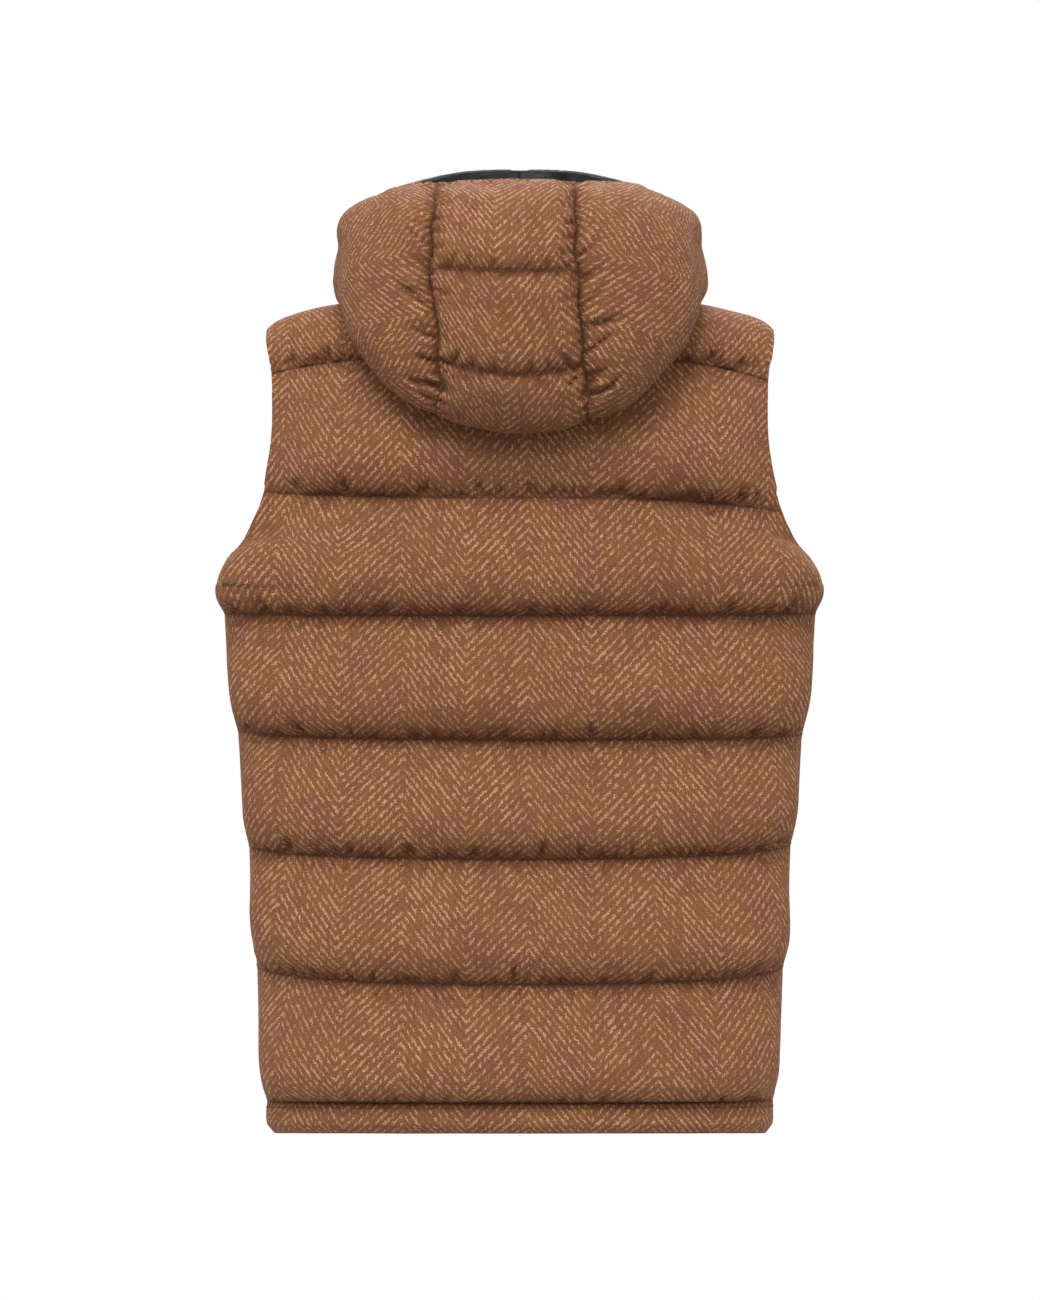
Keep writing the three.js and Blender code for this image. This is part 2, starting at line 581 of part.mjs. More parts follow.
/** The zip from the hem to the rim. The chain ends inside the slider, and the tapes run on. */
function makeZip() {
  const line = zipLine();
  const slider = sliderPlace(line);
  const mouth = slider.at(-SLIDER.length / 2);
  const chain = [...line.filter((p) => p.z < mouth.z - 3), mouth, slider.at(ZIP.chainIntoSlider)];
  const teeth = stripGeometry(outwards(chain), -ZIP.chainHalf, ZIP.chainHalf, ZIP.chainInner, ZIP.chainOuter);
  addPiece("zip_chain", teeth, metal);
  const tapeEdge = ZIP_OPENING - SEAM_GAP;
  const tapeFrom = ZIP.chainHalf + SEAM_GAP;
  const tapeOf = (from, to) => stripGeometry(outwards(line), from, to, ZIP.tapeInner, ZIP.tapeOuter);
  addPiece("zip_tape_left", tapeOf(tapeFrom, tapeEdge), tape);
  addPiece("zip_tape_right", tapeOf(-tapeEdge, -tapeFrom), tape);
  return slider;
}

const wasm = await Module();
wasm.setup();

/** A closed three.js geometry as a solid for cutting and joining. */
function solidOf(geometry) {
  const bare = geometry.clone().deleteAttribute("normal").deleteAttribute("uv");
  const merged = mergeVertices(bare, 1e-4);
  const [vertProperties, triVerts] = [merged.attributes.position.array, new Uint32Array(merged.index.array)];
  return new wasm.Manifold(new wasm.Mesh({ numProp: 3, vertProperties, triVerts }));
}

function geometryOf(solid) {
  const mesh = solid.getMesh();
  const geometry = new THREE.BufferGeometry();
  geometry.setAttribute("position", new THREE.Float32BufferAttribute(mesh.vertProperties, 3));
  geometry.setIndex([...mesh.triVerts]);
  geometry.computeVertexNormals();
  return geometry;
}

const boxAt = (size, centre) => solidOf(new THREE.BoxGeometry(...size).translate(...centre));
const rodAlongX = (radius, length, y, z) =>
  solidOf(new THREE.CylinderGeometry(radius, radius, length, 20).rotateZ(Math.PI / 2).translate(0, y, z));

/**
 * The slider, two plates round the chain's top end with a small arch in front, and its pull.
 * The slider's own axes are x across, y out of the garment negative, and z up the zip.
 */
function makeSlider(slider) {
  const front = -ZIP.chainOuter - SLIDER.clearance;
  const rear = -ZIP.chainInner + SLIDER.clearance;
  const axisY = front - SLIDER.plate - PULL.eyeRadius - 0.5;
  const plate = (y) => boxAt([SLIDER.width, SLIDER.plate, SLIDER.length], [0, y, 0]);
  const neck = boxAt([2.4, rear - front + 0.4, 3], [0, (rear + front) / 2, SLIDER.length / 2 - 1.5]);
  const eyeOuter = PULL.eyeRadius + PULL.archWall;
  const arch = rodAlongX(eyeOuter, 2 * PULL.archHalf, axisY, 0)
    .add(boxAt([2 * PULL.archHalf, 3, 2 * eyeOuter], [0, front - SLIDER.plate / 2 - 1, 0]))
    .subtract(rodAlongX(PULL.eyeRadius, 10, axisY, 0));
  const body = plate(front - SLIDER.plate / 2).add(plate(rear + SLIDER.plate / 2)).add(neck).add(arch);

  const armX = PULL.archHalf + 0.45 + PULL.arm / 2;
  const arm = (x) => boxAt([PULL.arm, PULL.thickness, PULL.window + 1], [x, 0, -PULL.window / 2]);
  const tab = boxAt([PULL.width, PULL.thickness, PULL.length], [0, 0, -PULL.window - PULL.length / 2]);
  const bar = rodAlongX(PULL.barRadius, 2 * armX + PULL.arm, 0, 0);
  const pull = bar.add(arm(armX)).add(arm(-armX)).add(tab);

  const mesh = addPiece("zip_slider", geometryOf(body), metal);
  mesh.position.copy(slider.at(0));
  mesh.rotation.x = -slider.tilt;
  const pivot = new THREE.Vector3(0, axisY, 0).applyAxisAngle(new THREE.Vector3(1, 0, 0), -slider.tilt);
  addPiece("zip_pull", geometryOf(pull), metal).position.copy(pivot.add(slider.at(0)));
}

makeBack();
makeFront("front_left", 1);
makeFront("front_right", -1);
makeBand();
makeHoodMiddle();
makeHoodSide("hood_left", 1);
makeHoodSide("hood_right", -1);
makeLining();
makeSlider(makeZip());

export default garment;
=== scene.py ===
"""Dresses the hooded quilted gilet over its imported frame: panels, lining, zip, stitching and studio.

Measurements are millimetres, as in the part's source. Meshes, lights and the camera are in metres.
+Z is up, the garment's front faces -Y and the wearer's left is +X.
"""
import logging
import math
from dataclasses import dataclass, replace
from enum import Enum

import bmesh
import bpy
import numpy as np
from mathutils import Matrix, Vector


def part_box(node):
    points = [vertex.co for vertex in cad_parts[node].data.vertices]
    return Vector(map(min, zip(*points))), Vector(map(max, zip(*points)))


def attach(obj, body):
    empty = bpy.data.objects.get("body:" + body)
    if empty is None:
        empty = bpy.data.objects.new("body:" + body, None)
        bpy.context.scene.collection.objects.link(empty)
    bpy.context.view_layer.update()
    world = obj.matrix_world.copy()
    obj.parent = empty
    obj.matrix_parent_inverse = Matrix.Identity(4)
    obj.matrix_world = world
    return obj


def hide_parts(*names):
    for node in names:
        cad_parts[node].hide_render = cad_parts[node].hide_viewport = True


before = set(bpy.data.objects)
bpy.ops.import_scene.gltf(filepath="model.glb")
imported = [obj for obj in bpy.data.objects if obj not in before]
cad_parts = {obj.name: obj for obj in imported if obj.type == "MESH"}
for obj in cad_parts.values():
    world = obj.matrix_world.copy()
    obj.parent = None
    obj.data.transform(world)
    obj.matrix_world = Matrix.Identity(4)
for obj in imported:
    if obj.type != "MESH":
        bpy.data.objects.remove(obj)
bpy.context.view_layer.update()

Array = np.ndarray
Colour = tuple[float, float, float, float]
MM = 0.001
BODY = "gilet"
log = logging.getLogger("gilet")


class Side(Enum):
    """A side of the garment, as the wearer has it."""

    LEFT = 1
    RIGHT = -1


class Face(Enum):
    """A half of the body: which way along Y it faces."""

    BACK = 1
    FRONT = -1


class Slot(Enum):
    """The record's material slots."""

    CLOTH = "printed_cloth"
    LINING = "lining"
    TAPE = "zip_tape"
    TEETH = "zip_teeth"
    METAL = "zip_metal"


def mix(start: Array, end: Array, share: Array) -> Array:
    """The value a share of the way from start to end."""
    return start + (end - start) * share


def smooth(share: Array) -> Array:
    """A share eased at both ends."""
    held = np.clip(share, 0, 1)
    return held * held * (3 - 2 * held)


def rounded(share: Array) -> Array:
    """A quarter circle's rise over a share from 0 to 1, steep at first."""
    return np.sqrt(1 - (1 - np.clip(share, 0, 1)) ** 2)


def unit(vectors: Array) -> Array:
    """Vectors of length 1."""
    return vectors / np.maximum(np.linalg.norm(vectors, axis=-1, keepdims=True), 1e-9)


def travelled(points: Array, axis: int) -> Array:
    """Measures along each line of a lattice of points.

    Args:
        points: the lattice.
        axis: the axis that the lines follow.

    Returns:
        Each point's distance from its line's first point.
    """
    steps = np.linalg.norm(np.diff(points, axis=axis), axis=-1)
    start = np.zeros_like(np.take(steps, [0], axis=axis))
    return np.cumsum(np.concatenate([start, steps], axis=axis), axis=axis)


def grid_normals(points: Array) -> Array:
    """Unit normals of a lattice of points, to either side."""
    return unit(np.cross(np.gradient(points, axis=1), np.gradient(points, axis=0)))


class Table:
    """Rows of measurements with named columns, read on a smooth curve through them."""

    def __init__(self, names: str, rows: list[tuple[float, ...]]) -> None:
        """Stores the rows.

        Args:
            names: the columns' names, the first of which is the key.
            rows: the rows in the order of their keys.
        """
        values = np.array(rows, float)
        self.keys = values[:, 0]
        self.columns = dict(zip(names.split(), values.T))

    def at(self, column: str, place: Array) -> Array:
        """Reads a column between the rows.

        Args:
            column: the column's name.
            place: values of the key.

        Returns:
            The column's value at each place.
        """
        keys, values = self.keys, self.columns[column]
        low = np.clip(np.searchsorted(keys, place, side="left") - 1, 0, len(keys) - 2)
        before, high, after = np.maximum(low - 1, 0), low + 1, np.minimum(low + 2, len(keys) - 1)
        span = keys[high] - keys[low]
        t = np.clip((place - keys[low]) / span, 0, 1)
        leave = (values[high] - values[before]) / (keys[high] - keys[before]) * span
        arrive = (values[after] - values[low]) / (keys[after] - keys[low]) * span
        return (
            values[low] * (2 * t**3 - 3 * t**2 + 1)
            + leave * (t**3 - 2 * t**2 + t)
            + values[high] * (3 * t**2 - 2 * t**3)
            + arrive * (t**3 - t**2)
        )


@dataclass(frozen=True)
class Rumple:
    """Soft unevenness of padded cloth: seeded rises and dips of one size over the flat cloth."""

    seed: int
    size: float
    height: float
    cells: int = 64

    def at(self, along: Array, up: Array) -> Array:
        """Reads the unevenness.

        Args:
            along: distance across the flat cloth.
            up: distance up the flat cloth.

        Returns:
            Rise or dip at each place.
        """
        lattice = np.random.default_rng(self.seed).uniform(-1, 1, (self.cells, self.cells))
        column, row = np.floor(along / self.size), np.floor(up / self.size)
        across, rise = smooth(along / self.size - column), smooth(up / self.size - row)
        i, j = column.astype(int) % self.cells, row.astype(int) % self.cells
        beyond, above = (i + 1) % self.cells, (j + 1) % self.cells
        low = mix(lattice[i, j], lattice[beyond, j], across)
        high = mix(lattice[i, above], lattice[beyond, above], across)
        return self.height * mix(low, high, rise)


@dataclass(frozen=True)
class Crease:
    """A fold that a line of stitches draws into the padding beside it."""

    at: float
    width: float
    reach: float
    depth: float
    lean: float = 0.0

    def press(self, along: Array, away: Array) -> Array:
        """How deep the fold lies.

        Args:
            along: distance along the seam.
            away: distance from the seam, on the fold's side.

        Returns:
            Depth at each place.
        """
        share = np.clip(away / self.reach, 0, 1)
        profile = np.sin(np.pi * share**0.72)
        return self.depth * profile * np.exp(-(((along - self.at - self.lean * away) / self.width) ** 2))


@dataclass(frozen=True)
class Gathers:
    """The small even puckers between the large folds of a seam, seeded."""

    seed: int
    pitch: float
    width: float
    reach: float
    depth: float
    places: tuple[float, float] = (0.1, 0.9)
    sizes: tuple[float, float] = (0.4, 1.5)
    lean: float = 0.22

    def creases(self, start: float, end: float) -> list[Crease]:
        """Spreads the puckers along a stretch of seam.

        Args:
            start: where the stretch starts.
            end: where it ends.

        Returns:
            The puckers.
        """
        rng = np.random.default_rng(self.seed)
        count = max(1, round((end - start) / self.pitch))
        spread = start + (np.arange(count) + rng.uniform(*self.places, count)) * (end - start) / count
        sizes = rng.uniform(*self.sizes, (count, 3))
        leans = rng.normal(0, self.lean, count)
        return [
            Crease(at, self.width * w, self.reach * r, self.depth * d, lean)
            for at, (w, r, d), lean in zip(spread, sizes, leans)
        ]


@dataclass(frozen=True)
class BodyShape:
    """The body's pattern: its inner face, and how far the padding lifts the outer one."""

    seam_gap: float = 0.06
    seam_wall: float = 3.5
    loft: float = 20.0
    loft_peak: float = 0.34
    loft_fullness: float = 1.15
    loft_sag: float = 0.06
    zip_opening: float = 6.5
    zip_edge_free: float = 0.6
    fade_at_seam: float = 85.0
    fade_at_zip: float = 32.0
    edge_loft: float = 0.07
    armhole_loft: float = 0.18
    roundness: float = 2.4
    levels: Table = Table(
        "channel left_z right_z back_z front_z half_width back_depth front_depth",
        [
            (-1, -686, -686, -676, -685, 200.8, 106, 112),
            (0, -659, -658, -651, -658, 206.5, 108, 114),
            (1, -545, -546, -556, -550, 215, 106, 117),
            (2, -446, -444, -455, -450, 221.5, 99, 118),
            (3, -350, -354, -358, -354, 231, 97, 119),
            (4, -254, -254, -257, -257, 242, 104, 117),
            (4.25, -231, -231, -233, -234, 245, 106, 115),
            (5, -155, -171, -162, -168, 206, 109, 103),
            (6, -59, -65, -45, -93, 201, 91, 86),
        ],
    )
    underarm: float = 4.25
    yoke: float = 6.0
    shoulder: float = 7.0
    shoulder_y: float = 3.0
    neck_x: float = 88.0
    neck_z: float = 1.0
    tip_x: float = 207.0
    tip_z: float = -21.0
    neck_share: float = 5 / 12
    neck_back: tuple[float, float, float] = (69.0, -6.0, 1.0)
    neck_front: tuple[float, float, float] = (76.0, -62.0, 1.7)
    neck_roll: float = 0.5
    shoulder_fall: tuple[tuple[float, float], ...] = ((0.3, 1.0), (0.4, 2.2), (0.3, 16.0))
    yoke_loft: float = 0.45
    hood_cover: float = 110.0
    hood_cover_fade: float = 75.0
    flat_middle: float = 30.0
    flat_fade: float = 90.0
    flat_reach: float = 0.55
    flat_share: float = 0.4
    armhole_top: float = -17.0
    armhole_bottom: float = -231.0
    armhole_back: float = 62.0
    armhole_front: float = 57.0
    armhole_sweep: float = 36.0
    armhole_edge: Table = Table(
        "z x",
        [(-231, 245), (-210, 238.5), (-193, 224), (-160, 209), (-115, 199.5), (-60, 203), (-17, 207)],
    )

    def neckline(self, face: Face) -> tuple[float, float, float]:
        """Depth, lowest height and dip of the neckline's half."""
        return self.neck_back if face is Face.BACK else self.neck_front

    def _level(self, face: Face, across: Array, channel: Array) -> Array:
        """The inner face below the yoke seam.

        Args:
            face: back or front.
            across: places across it, from -1 to 1.
            channel: heights in channels above the hem seam.

        Returns:
            Points in millimetres.
        """
        name = face.name.lower()
        edge_z = np.where(
            across > 0, self.levels.at("left_z", channel), self.levels.at("right_z", channel)
        )
        middle_z = self.levels.at(f"{name}_z", channel)
        depth = self.levels.at(f"{name}_depth", channel)
        middle = (self.armhole_top + self.armhole_bottom) / 2
        half = (self.armhole_top - self.armhole_bottom) / 2
        opening = np.maximum(0, 1 - ((edge_z - middle) / half) ** 2) ** (1.1 - 0.6 * np.abs(across) ** 6)
        in_armhole = channel > self.underarm
        opening_depth = self.armhole_back if face is Face.BACK else self.armhole_front
        edge_y = np.where(in_armhole, opening_depth * opening, 0)
        edge_x = np.where(
            in_armhole, self.armhole_edge.at("x", edge_z), self.levels.at("half_width", channel)
        )
        narrowed = smooth((channel - self.underarm) / (5 - self.underarm))
        sweep = np.radians(90 - self.armhole_sweep * narrowed)
        power = 2 / self.roundness
        turn = np.abs(across) * sweep
        rim = np.maximum(0, np.cos(sweep)) ** power
        share = (np.maximum(0, np.cos(turn)) ** power - rim) / (1 - rim)
        x = np.sign(across) * edge_x * (np.sin(turn) / np.sin(sweep)) ** power
        y = face.value * mix(edge_y + self.seam_gap / 2, depth, share)
        return np.stack([x, y, mix(middle_z, edge_z, across**2)], -1)

    def _top(self, face: Face, across: Array) -> Array:
        """The neckline near the middle, and the shoulder seam beyond it.

        Args:
            face: back or front.
            across: places across it, from -1 to 1.

        Returns:
            Points in millimetres.
        """
        depth, lowest, dip = self.neckline(face)
        turn = np.clip(np.abs(across) / self.neck_share, 0, 1) * np.pi / 2
        along = np.clip((np.abs(across) - self.neck_share) / (1 - self.neck_share), 0, 1)
        cosine = np.maximum(0, np.cos(turn))
        x = self.neck_x * np.sin(turn) + (self.tip_x - self.neck_x) * along
        y = self.shoulder_y + face.value * (self.seam_gap / 2 + depth * cosine)
        fall = sum(share * along**power for share, power in self.shoulder_fall)
        z = mix(self.neck_z, lowest, cosine ** (2 * dip)) + (self.tip_z - self.neck_z) * fall
        return np.stack([np.sign(across) * x, y, z], -1)

    def inner(self, face: Face, across: Array, channel: Array) -> Array:
        """The inner face.

        Args:
            face: back or front.
            across: -1 at the wearer's right edge, 0 in the middle, 1 at the left edge.
            channel: height in channels above the hem seam.

        Returns:
            Points in millimetres.
        """
        across, channel = np.broadcast_arrays(across, channel)
        low = self._level(face, across, np.minimum(channel, self.yoke))
        top = self._top(face, across)
        rise = np.clip(channel - self.yoke, 0, 1)
        roll = rise * np.pi / 2
        middle = 1 - smooth(np.abs(across) / self.neck_share)
        straight = (self.neck_roll if face is Face.BACK else 1.0) * middle
        shares = [rise, mix(1 - np.cos(roll), rise, straight), mix(np.sin(roll), rise, straight)]
        return mix(low, top, np.stack(shares, -1))

    def outward(self, face: Face, across: Array, channel: Array) -> Array:
        """Unit normals of the inner face that point out of the garment.

        Args:
            face: back or front.
            across: places across it, from -1 to 1.
            channel: heights in channels above the hem seam.

        Returns:
            A normal at each place.
        """
        across, channel = np.broadcast_arrays(across, channel)
        a, b = np.clip(across, -0.995, 0.995), np.clip(channel, -0.99, self.shoulder - 0.01)
        along = self.inner(face, a + 0.005, b) - self.inner(face, a - 0.005, b)
        up = self.inner(face, a, b + 0.01) - self.inner(face, a, b - 0.01)
        normal = unit(np.cross(along, up))
        here = self.inner(face, across, channel)
        above = np.where(channel > self.yoke, 60.0, 0.0)
        away = np.stack([here[..., 0], 2 * here[..., 1], above], -1)
        normal = normal * np.where(np.sum(normal * away, -1, keepdims=True) < 0, -1, 1)
        on_side = (np.abs(across) > 0.999) & (channel <= self.underarm)
        on_shoulder = (channel >= self.shoulder) & (np.abs(across) >= self.neck_share)
        normal[..., 1] = np.where(on_side | on_shoulder, 0, normal[..., 1])
        return unit(normal)

    def lift(self, face: Face, across: Array, channel: Array) -> Array:
        """How far the padding lifts the outer cloth above the wall at a seam.

        Args:
            face: back or front.
            across: places across it, from -1 to 1.
            channel: heights in channels above the hem seam.

        Returns:
            Millimetres at each place.
        """
        across, channel = np.broadcast_arrays(across, channel)
        x = np.abs(self.inner(face, across, channel)[..., 0])
        reach = self.inner(face, np.ones_like(across), channel)[..., 0]
        edge = mix(self.edge_loft, self.armhole_loft, smooth((channel - self.underarm) / 0.4))
        share = mix(edge, 1, smooth((1 - np.abs(across)) * reach / self.fade_at_seam))
        if face is Face.FRONT:
            share = share * mix(self.armhole_loft, 1, smooth((x - self.zip_opening) / self.fade_at_zip))
        covered = mix(self.yoke_loft, 1, smooth((x - self.hood_cover) / self.hood_cover_fade))
        share = share * np.where(channel > self.yoke, covered, 1)
        if face is Face.BACK:
            middle = 1 - smooth((x - self.flat_middle) / self.flat_fade)
            near = 1 - smooth(np.abs(channel - 5) / self.flat_reach)
            share = share * (1 - self.flat_share * middle * near)
        place = np.where(channel >= self.shoulder, 1, channel - np.floor(channel))
        skew = math.log(0.5) / math.log(self.loft_peak)
        return self.loft * share * np.maximum(0, np.sin(np.pi * place**skew)) ** self.loft_fullness

    def zip_edge(self, channel: Array) -> Array:
        """The place across a front where the cloth ends beside the zip.

        Args:
            channel: heights in channels above the hem seam.

        Returns:
            The place at each height.
        """
        low, high = np.zeros_like(channel), np.full_like(channel, 0.2)
        for _ in range(40):
            middle = (low + high) / 2
            short = self.inner(Face.FRONT, middle, channel)[..., 0] < self.zip_opening
            low, high = np.where(short, middle, low), np.where(short, high, middle)
        return (low + high) / 2

    def even_places(self, count: int) -> Array:
        """Places from the middle to the side edge that lie evenly along the cloth.

        Args:
            count: how many steps there are between them.

        Returns:
            The places, from 0 to 1.
        """
        places = np.linspace(0, 1, 600)
        line = self.inner(Face.BACK, places, np.full_like(places, 2.0))
        distance = travelled(line, 0)
        return np.interp(np.linspace(0, distance[-1], count + 1), distance, places)


@dataclass(frozen=True)
class HoodShape:
    """The hood's pattern: a pouch behind the neck that closes in front as a collar."""

    body: BodyShape
    rim: float = 7.0
    pinch: float = 15.0
    cross_seams: tuple[float, ...] = (4.0, 5.0)

    rows: Table = Table(
        "turn stand_r stand_z under_r under_z low_r low_z cross_low_r cross_low_z "
        "cross_high_r cross_high_z crown_r crown_z rim_r rim_z",
        [
            (-30, 82, 27, 124, -24, 155, -79, 180, -44, 181, 20, 163, 63, 126, 90),
            (0, 77, 26, 112, -28, 141, -99, 170, -64, 177, 14, 161, 62, 124, 90),
            (30, 82, 27, 124, -24, 155, -79, 180, -44, 181, 20, 163, 63, 126, 90),
            (45, 86, 28, 128, -4, 158, -42, 176, -20, 172, 28, 154, 65, 126, 90),
            (60, 90, 28, 126, 14, 153, 1, 158, 13, 152, 40, 147, 65, 121, 85),
            (90, 96, 28, 114, 26, 131, 25, 133, 32, 132, 49, 131, 69, 115, 88),
            (120, 94, 8, 104, 18, 112, 27, 118, 38, 121, 56, 115, 80, 103, 106),
            (150, 84, -24, 89, -6, 94, 11, 98, 30, 101, 54, 100, 88, 94, 119.5),
            (180, 78, -36, 80, -14, 83, 8, 86, 30, 89, 56, 90, 89, 87, 122),
            (210, 84, -24, 89, -6, 94, 11, 98, 30, 101, 54, 100, 88, 94, 119.5),
        ],
    )
    stops: tuple[str, ...] = ("stand", "under", "low", "cross_low", "cross_high", "crown", "rim")
    lifts: Table = Table("turn lift", [(0, 4), (45, 5), (90, 5.5), (120, 8), (150, 6.5), (180, 1.5)])
    way: Table = Table(
        "stop half drift wall",
        [
            (0, 38, 0, 3.5),
            (1, 40, 0, 4),
            (2, 48, 1, 6),
            (3, 56, 4, 12),
            (4, 57, 6, 13),
            (5, 57, 12, 14),
            (6, 56, 12, 13),
            (7, 54, 12, 5),
        ],
    )

    sway: Table = Table(
        "way left right",
        [
            (0, 0, 0),
            (1.6, -0.6, 0.8),
            (2.7, -0.8, 1),
            (3.3, 1.4, -0.7),
            (3.7, -0.6, 0.5),
            (4, 1.8, -1.6),
            (4.3, -1.3, 0.4),
            (4.6, 0.3, -0.9),
            (5, 2.2, 1.6),
            (5.2, -0.9, -1.5),
            (5.7, 0.8, 0.4),
            (6, -1.1, -0.9),
            (6.5, 0.7, 1.1),
            (7, 0, 0),
        ],
    )

    def _neck(self, turn: Array) -> tuple[Array, Array]:
        """The body's neckline, from the middle of the neck.

        Args:
            turn: degrees from the middle of the back.

        Returns:
            Radius and height at each turn.
        """
        back, front = self.body.neckline(Face.BACK), self.body.neckline(Face.FRONT)
        depth, lowest, dip = (np.where(turn <= 90, b, f) for b, f in zip(back, front))
        along = np.cos(np.radians(turn)) / depth
        radius = 1 / np.hypot(np.sin(np.radians(turn)) / self.body.neck_x, along)
        return radius, mix(self.body.neck_z, lowest, np.abs(along * radius) ** (2 * dip))

    def inner(self, turn: Array, way: Array) -> Array:
        """The inner face.

        Args:
            turn: degrees from the middle of the back, positive to the wearer's left.
            way: stops from the neck to the rim.

        Returns:
            Points in millimetres.
        """
        turn, way = np.broadcast_arrays(turn, way)
        mirrored = np.abs(turn)
        radius, height = self._neck(mirrored)
        radii = [radius] + [self.rows.at(f"{stop}_r", mirrored) for stop in self.stops]
        heights = [height + self.lifts.at("lift", mirrored)]
        heights += [self.rows.at(f"{stop}_z", mirrored) for stop in self.stops]
        profile = np.stack([np.stack(radii, -1), np.stack(heights, -1)], -1)
        way = np.clip(way, 0, self.rim)
        spot = np.floor(way).astype(int)
        t = (way - spot)[..., None]
        picks = [np.clip(spot + step, 0, len(self.stops))[..., None, None] for step in (-1, 0, 1, 2)]
        p0, p1, p2, p3 = (np.take_along_axis(profile, pick, -2)[..., 0, :] for pick in picks)
        leave, arrive = (p2 - p0) / 2, (p3 - p1) / 2
        at = (2 * p1 - 2 * p2 + leave + arrive) * t**3
        at = at + (-3 * p1 + 3 * p2 - 2 * leave - arrive) * t**2 + leave * t + p1
        direction = np.radians(turn)
        x = at[..., 0] * np.sin(direction)
        y = self.body.shoulder_y + at[..., 0] * np.cos(direction)
        return np.stack([x, y, at[..., 1]], -1)

    def outward(self, turn: Array, way: Array) -> Array:
        """Unit normals of the inner face that point out of the hood.

        Args:
            turn: degrees from the middle of the back.
            way: stops from the neck to the rim.

        Returns:
            A normal at each place.
        """
        turn, way = np.broadcast_arrays(turn, way)
        held = np.clip(way, 0.03, self.rim - 0.03)
        along = self.inner(turn + 0.5, held) - self.inner(turn - 0.5, held)
        up = self.inner(turn, held + 0.03) - self.inner(turn, held - 0.03)
        normal = unit(np.cross(up, along))
        normal[..., 2] = np.where(way == 0, 0, normal[..., 2])
        return unit(normal)

    def turn_at(self, x: Array, way: Array, front: bool) -> Array:
        """The turn at which the inner face is a distance to the left of the middle.

        Args:
            x: the distance.
            way: stops from the neck to the rim.
            front: true for the place in front, false for the one behind.

        Returns:
            Degrees from the middle of the back.
        """
        x, way = np.broadcast_arrays(x, way)
        low = np.full(x.shape, 90.0 if front else -90.0)
        high = np.full(x.shape, 180.0 if front else 90.0)
        for _ in range(36):
            middle = (low + high) / 2
            beyond = self.inner(middle, way)[..., 0] > x
            take = beyond != front
            low, high = np.where(take, low, middle), np.where(take, middle, high)
        return (low + high) / 2

    def middle_panel(self, way: Array, across: Array) -> tuple[Array, Array]:
        """Places over the middle panel.

        Args:
            way: stops from the neck to the rim.
            across: places from one lengthwise seam, -1, to the other, 1.

        Returns:
            Turn, and distance from the nearer lengthwise seam.
        """
        sway = np.where(across > 0, self.sway.at("left", way), self.sway.at("right", way))
        half = self.way.at("half", way) - self.body.seam_gap / 2 + sway * np.abs(across) ** 2
        turn = self.turn_at(self.way.at("drift", way) + across * half, way, False)
        return turn, half * (1 - np.abs(across))

    def side_panel(self, way: Array, share: Array, side: Side) -> tuple[Array, Array]:
        """Places over a side panel.

        Args:
            way: stops from the neck to the rim.
            share: places from the lengthwise seam, 0, to the zip, 1.
            side: the panel's side.

        Returns:
            Turn, and distance from the lengthwise seam.
        """
        seam_x = self.way.at("half", way) + self.body.seam_gap / 2 + self.sway.at(side.name.lower(), way)
        start = self.turn_at(seam_x + side.value * self.way.at("drift", way), way, False)
        end = self.turn_at(np.full_like(way, self.body.zip_opening), way, True)
        turn = mix(start, end, share)
        point = self.inner(turn, way)
        return side.value * turn, np.radians(turn - start) * np.hypot(point[..., 0], point[..., 1])


def refined(lattice: Array) -> Array:
    """Sets a smooth value between each pair of a lattice's values, along both axes.

    Args:
        lattice: the values.

    Returns:
        The finer lattice.
    """
    for axis in (0, 1):
        values = np.moveaxis(lattice, axis, 0)
        padded = np.concatenate([values[:1], values, values[-1:]])
        between = (9 * (padded[1:-2] + padded[2:-1]) - padded[:-3] - padded[3:]) / 16
        woven = np.empty((2 * len(values) - 1, *values.shape[1:]))
        woven[::2], woven[1::2] = values, between
        lattice = np.moveaxis(woven, 0, axis)
    return lattice


def levelled(values: Array, reach: int) -> Array:
    """Averages a lattice of vectors over its neighbours, twice along each axis.

    Args:
        values: the vectors.
        reach: how many neighbours count to either side.

    Returns:
        The averages.
    """
    for axis in (0, 1, 0, 1):
        line = np.moveaxis(values, axis, 0)
        padded = np.concatenate([np.repeat(line[:1], reach + 1, 0), line, np.repeat(line[-1:], reach, 0)])
        total = np.cumsum(padded, 0)
        values = np.moveaxis((total[2 * reach + 1 :] - total[: -2 * reach - 1]) / (2 * reach + 1), 0, axis)
    return values


# Weights of the painted shade that darkens the cloth's colour: hollows, surfaces facing down, seams.
SHADE_HOLLOW = 0.55
SHADE_BELOW = 0.75
SHADE_SEAM = 0.5
HOLLOW_DEPTH = 2.2
HOLLOW_REACH = 3


def shaded(points: Array, outward: Array, seam: Array) -> Array:
    """Painted shade for the cloth's colour: how far each point lies in the shade of the folds round it, from
    0 to 1.

    Args:
        points: a lattice of points.
        outward: the way out of the padding at each.
        seam: painted shade beside the seams, by nearness to a seam, from 0 to 1.

    Returns:
        The painted shade at each point.
    """
    hollow = np.sum((levelled(points, HOLLOW_REACH) - points) * outward, -1) / HOLLOW_DEPTH
    facing = grid_normals(points)
    facing = facing * np.sign(np.sum(facing * outward, -1, keepdims=True))
    # Painted shade on the surfaces that face down, below each bulge.
    under = np.maximum(0, -facing[..., 2]) ** 1.5
    return np.clip(SHADE_HOLLOW * np.clip(hollow, 0, 1) + SHADE_BELOW * under + SHADE_SEAM * seam, 0, 1)


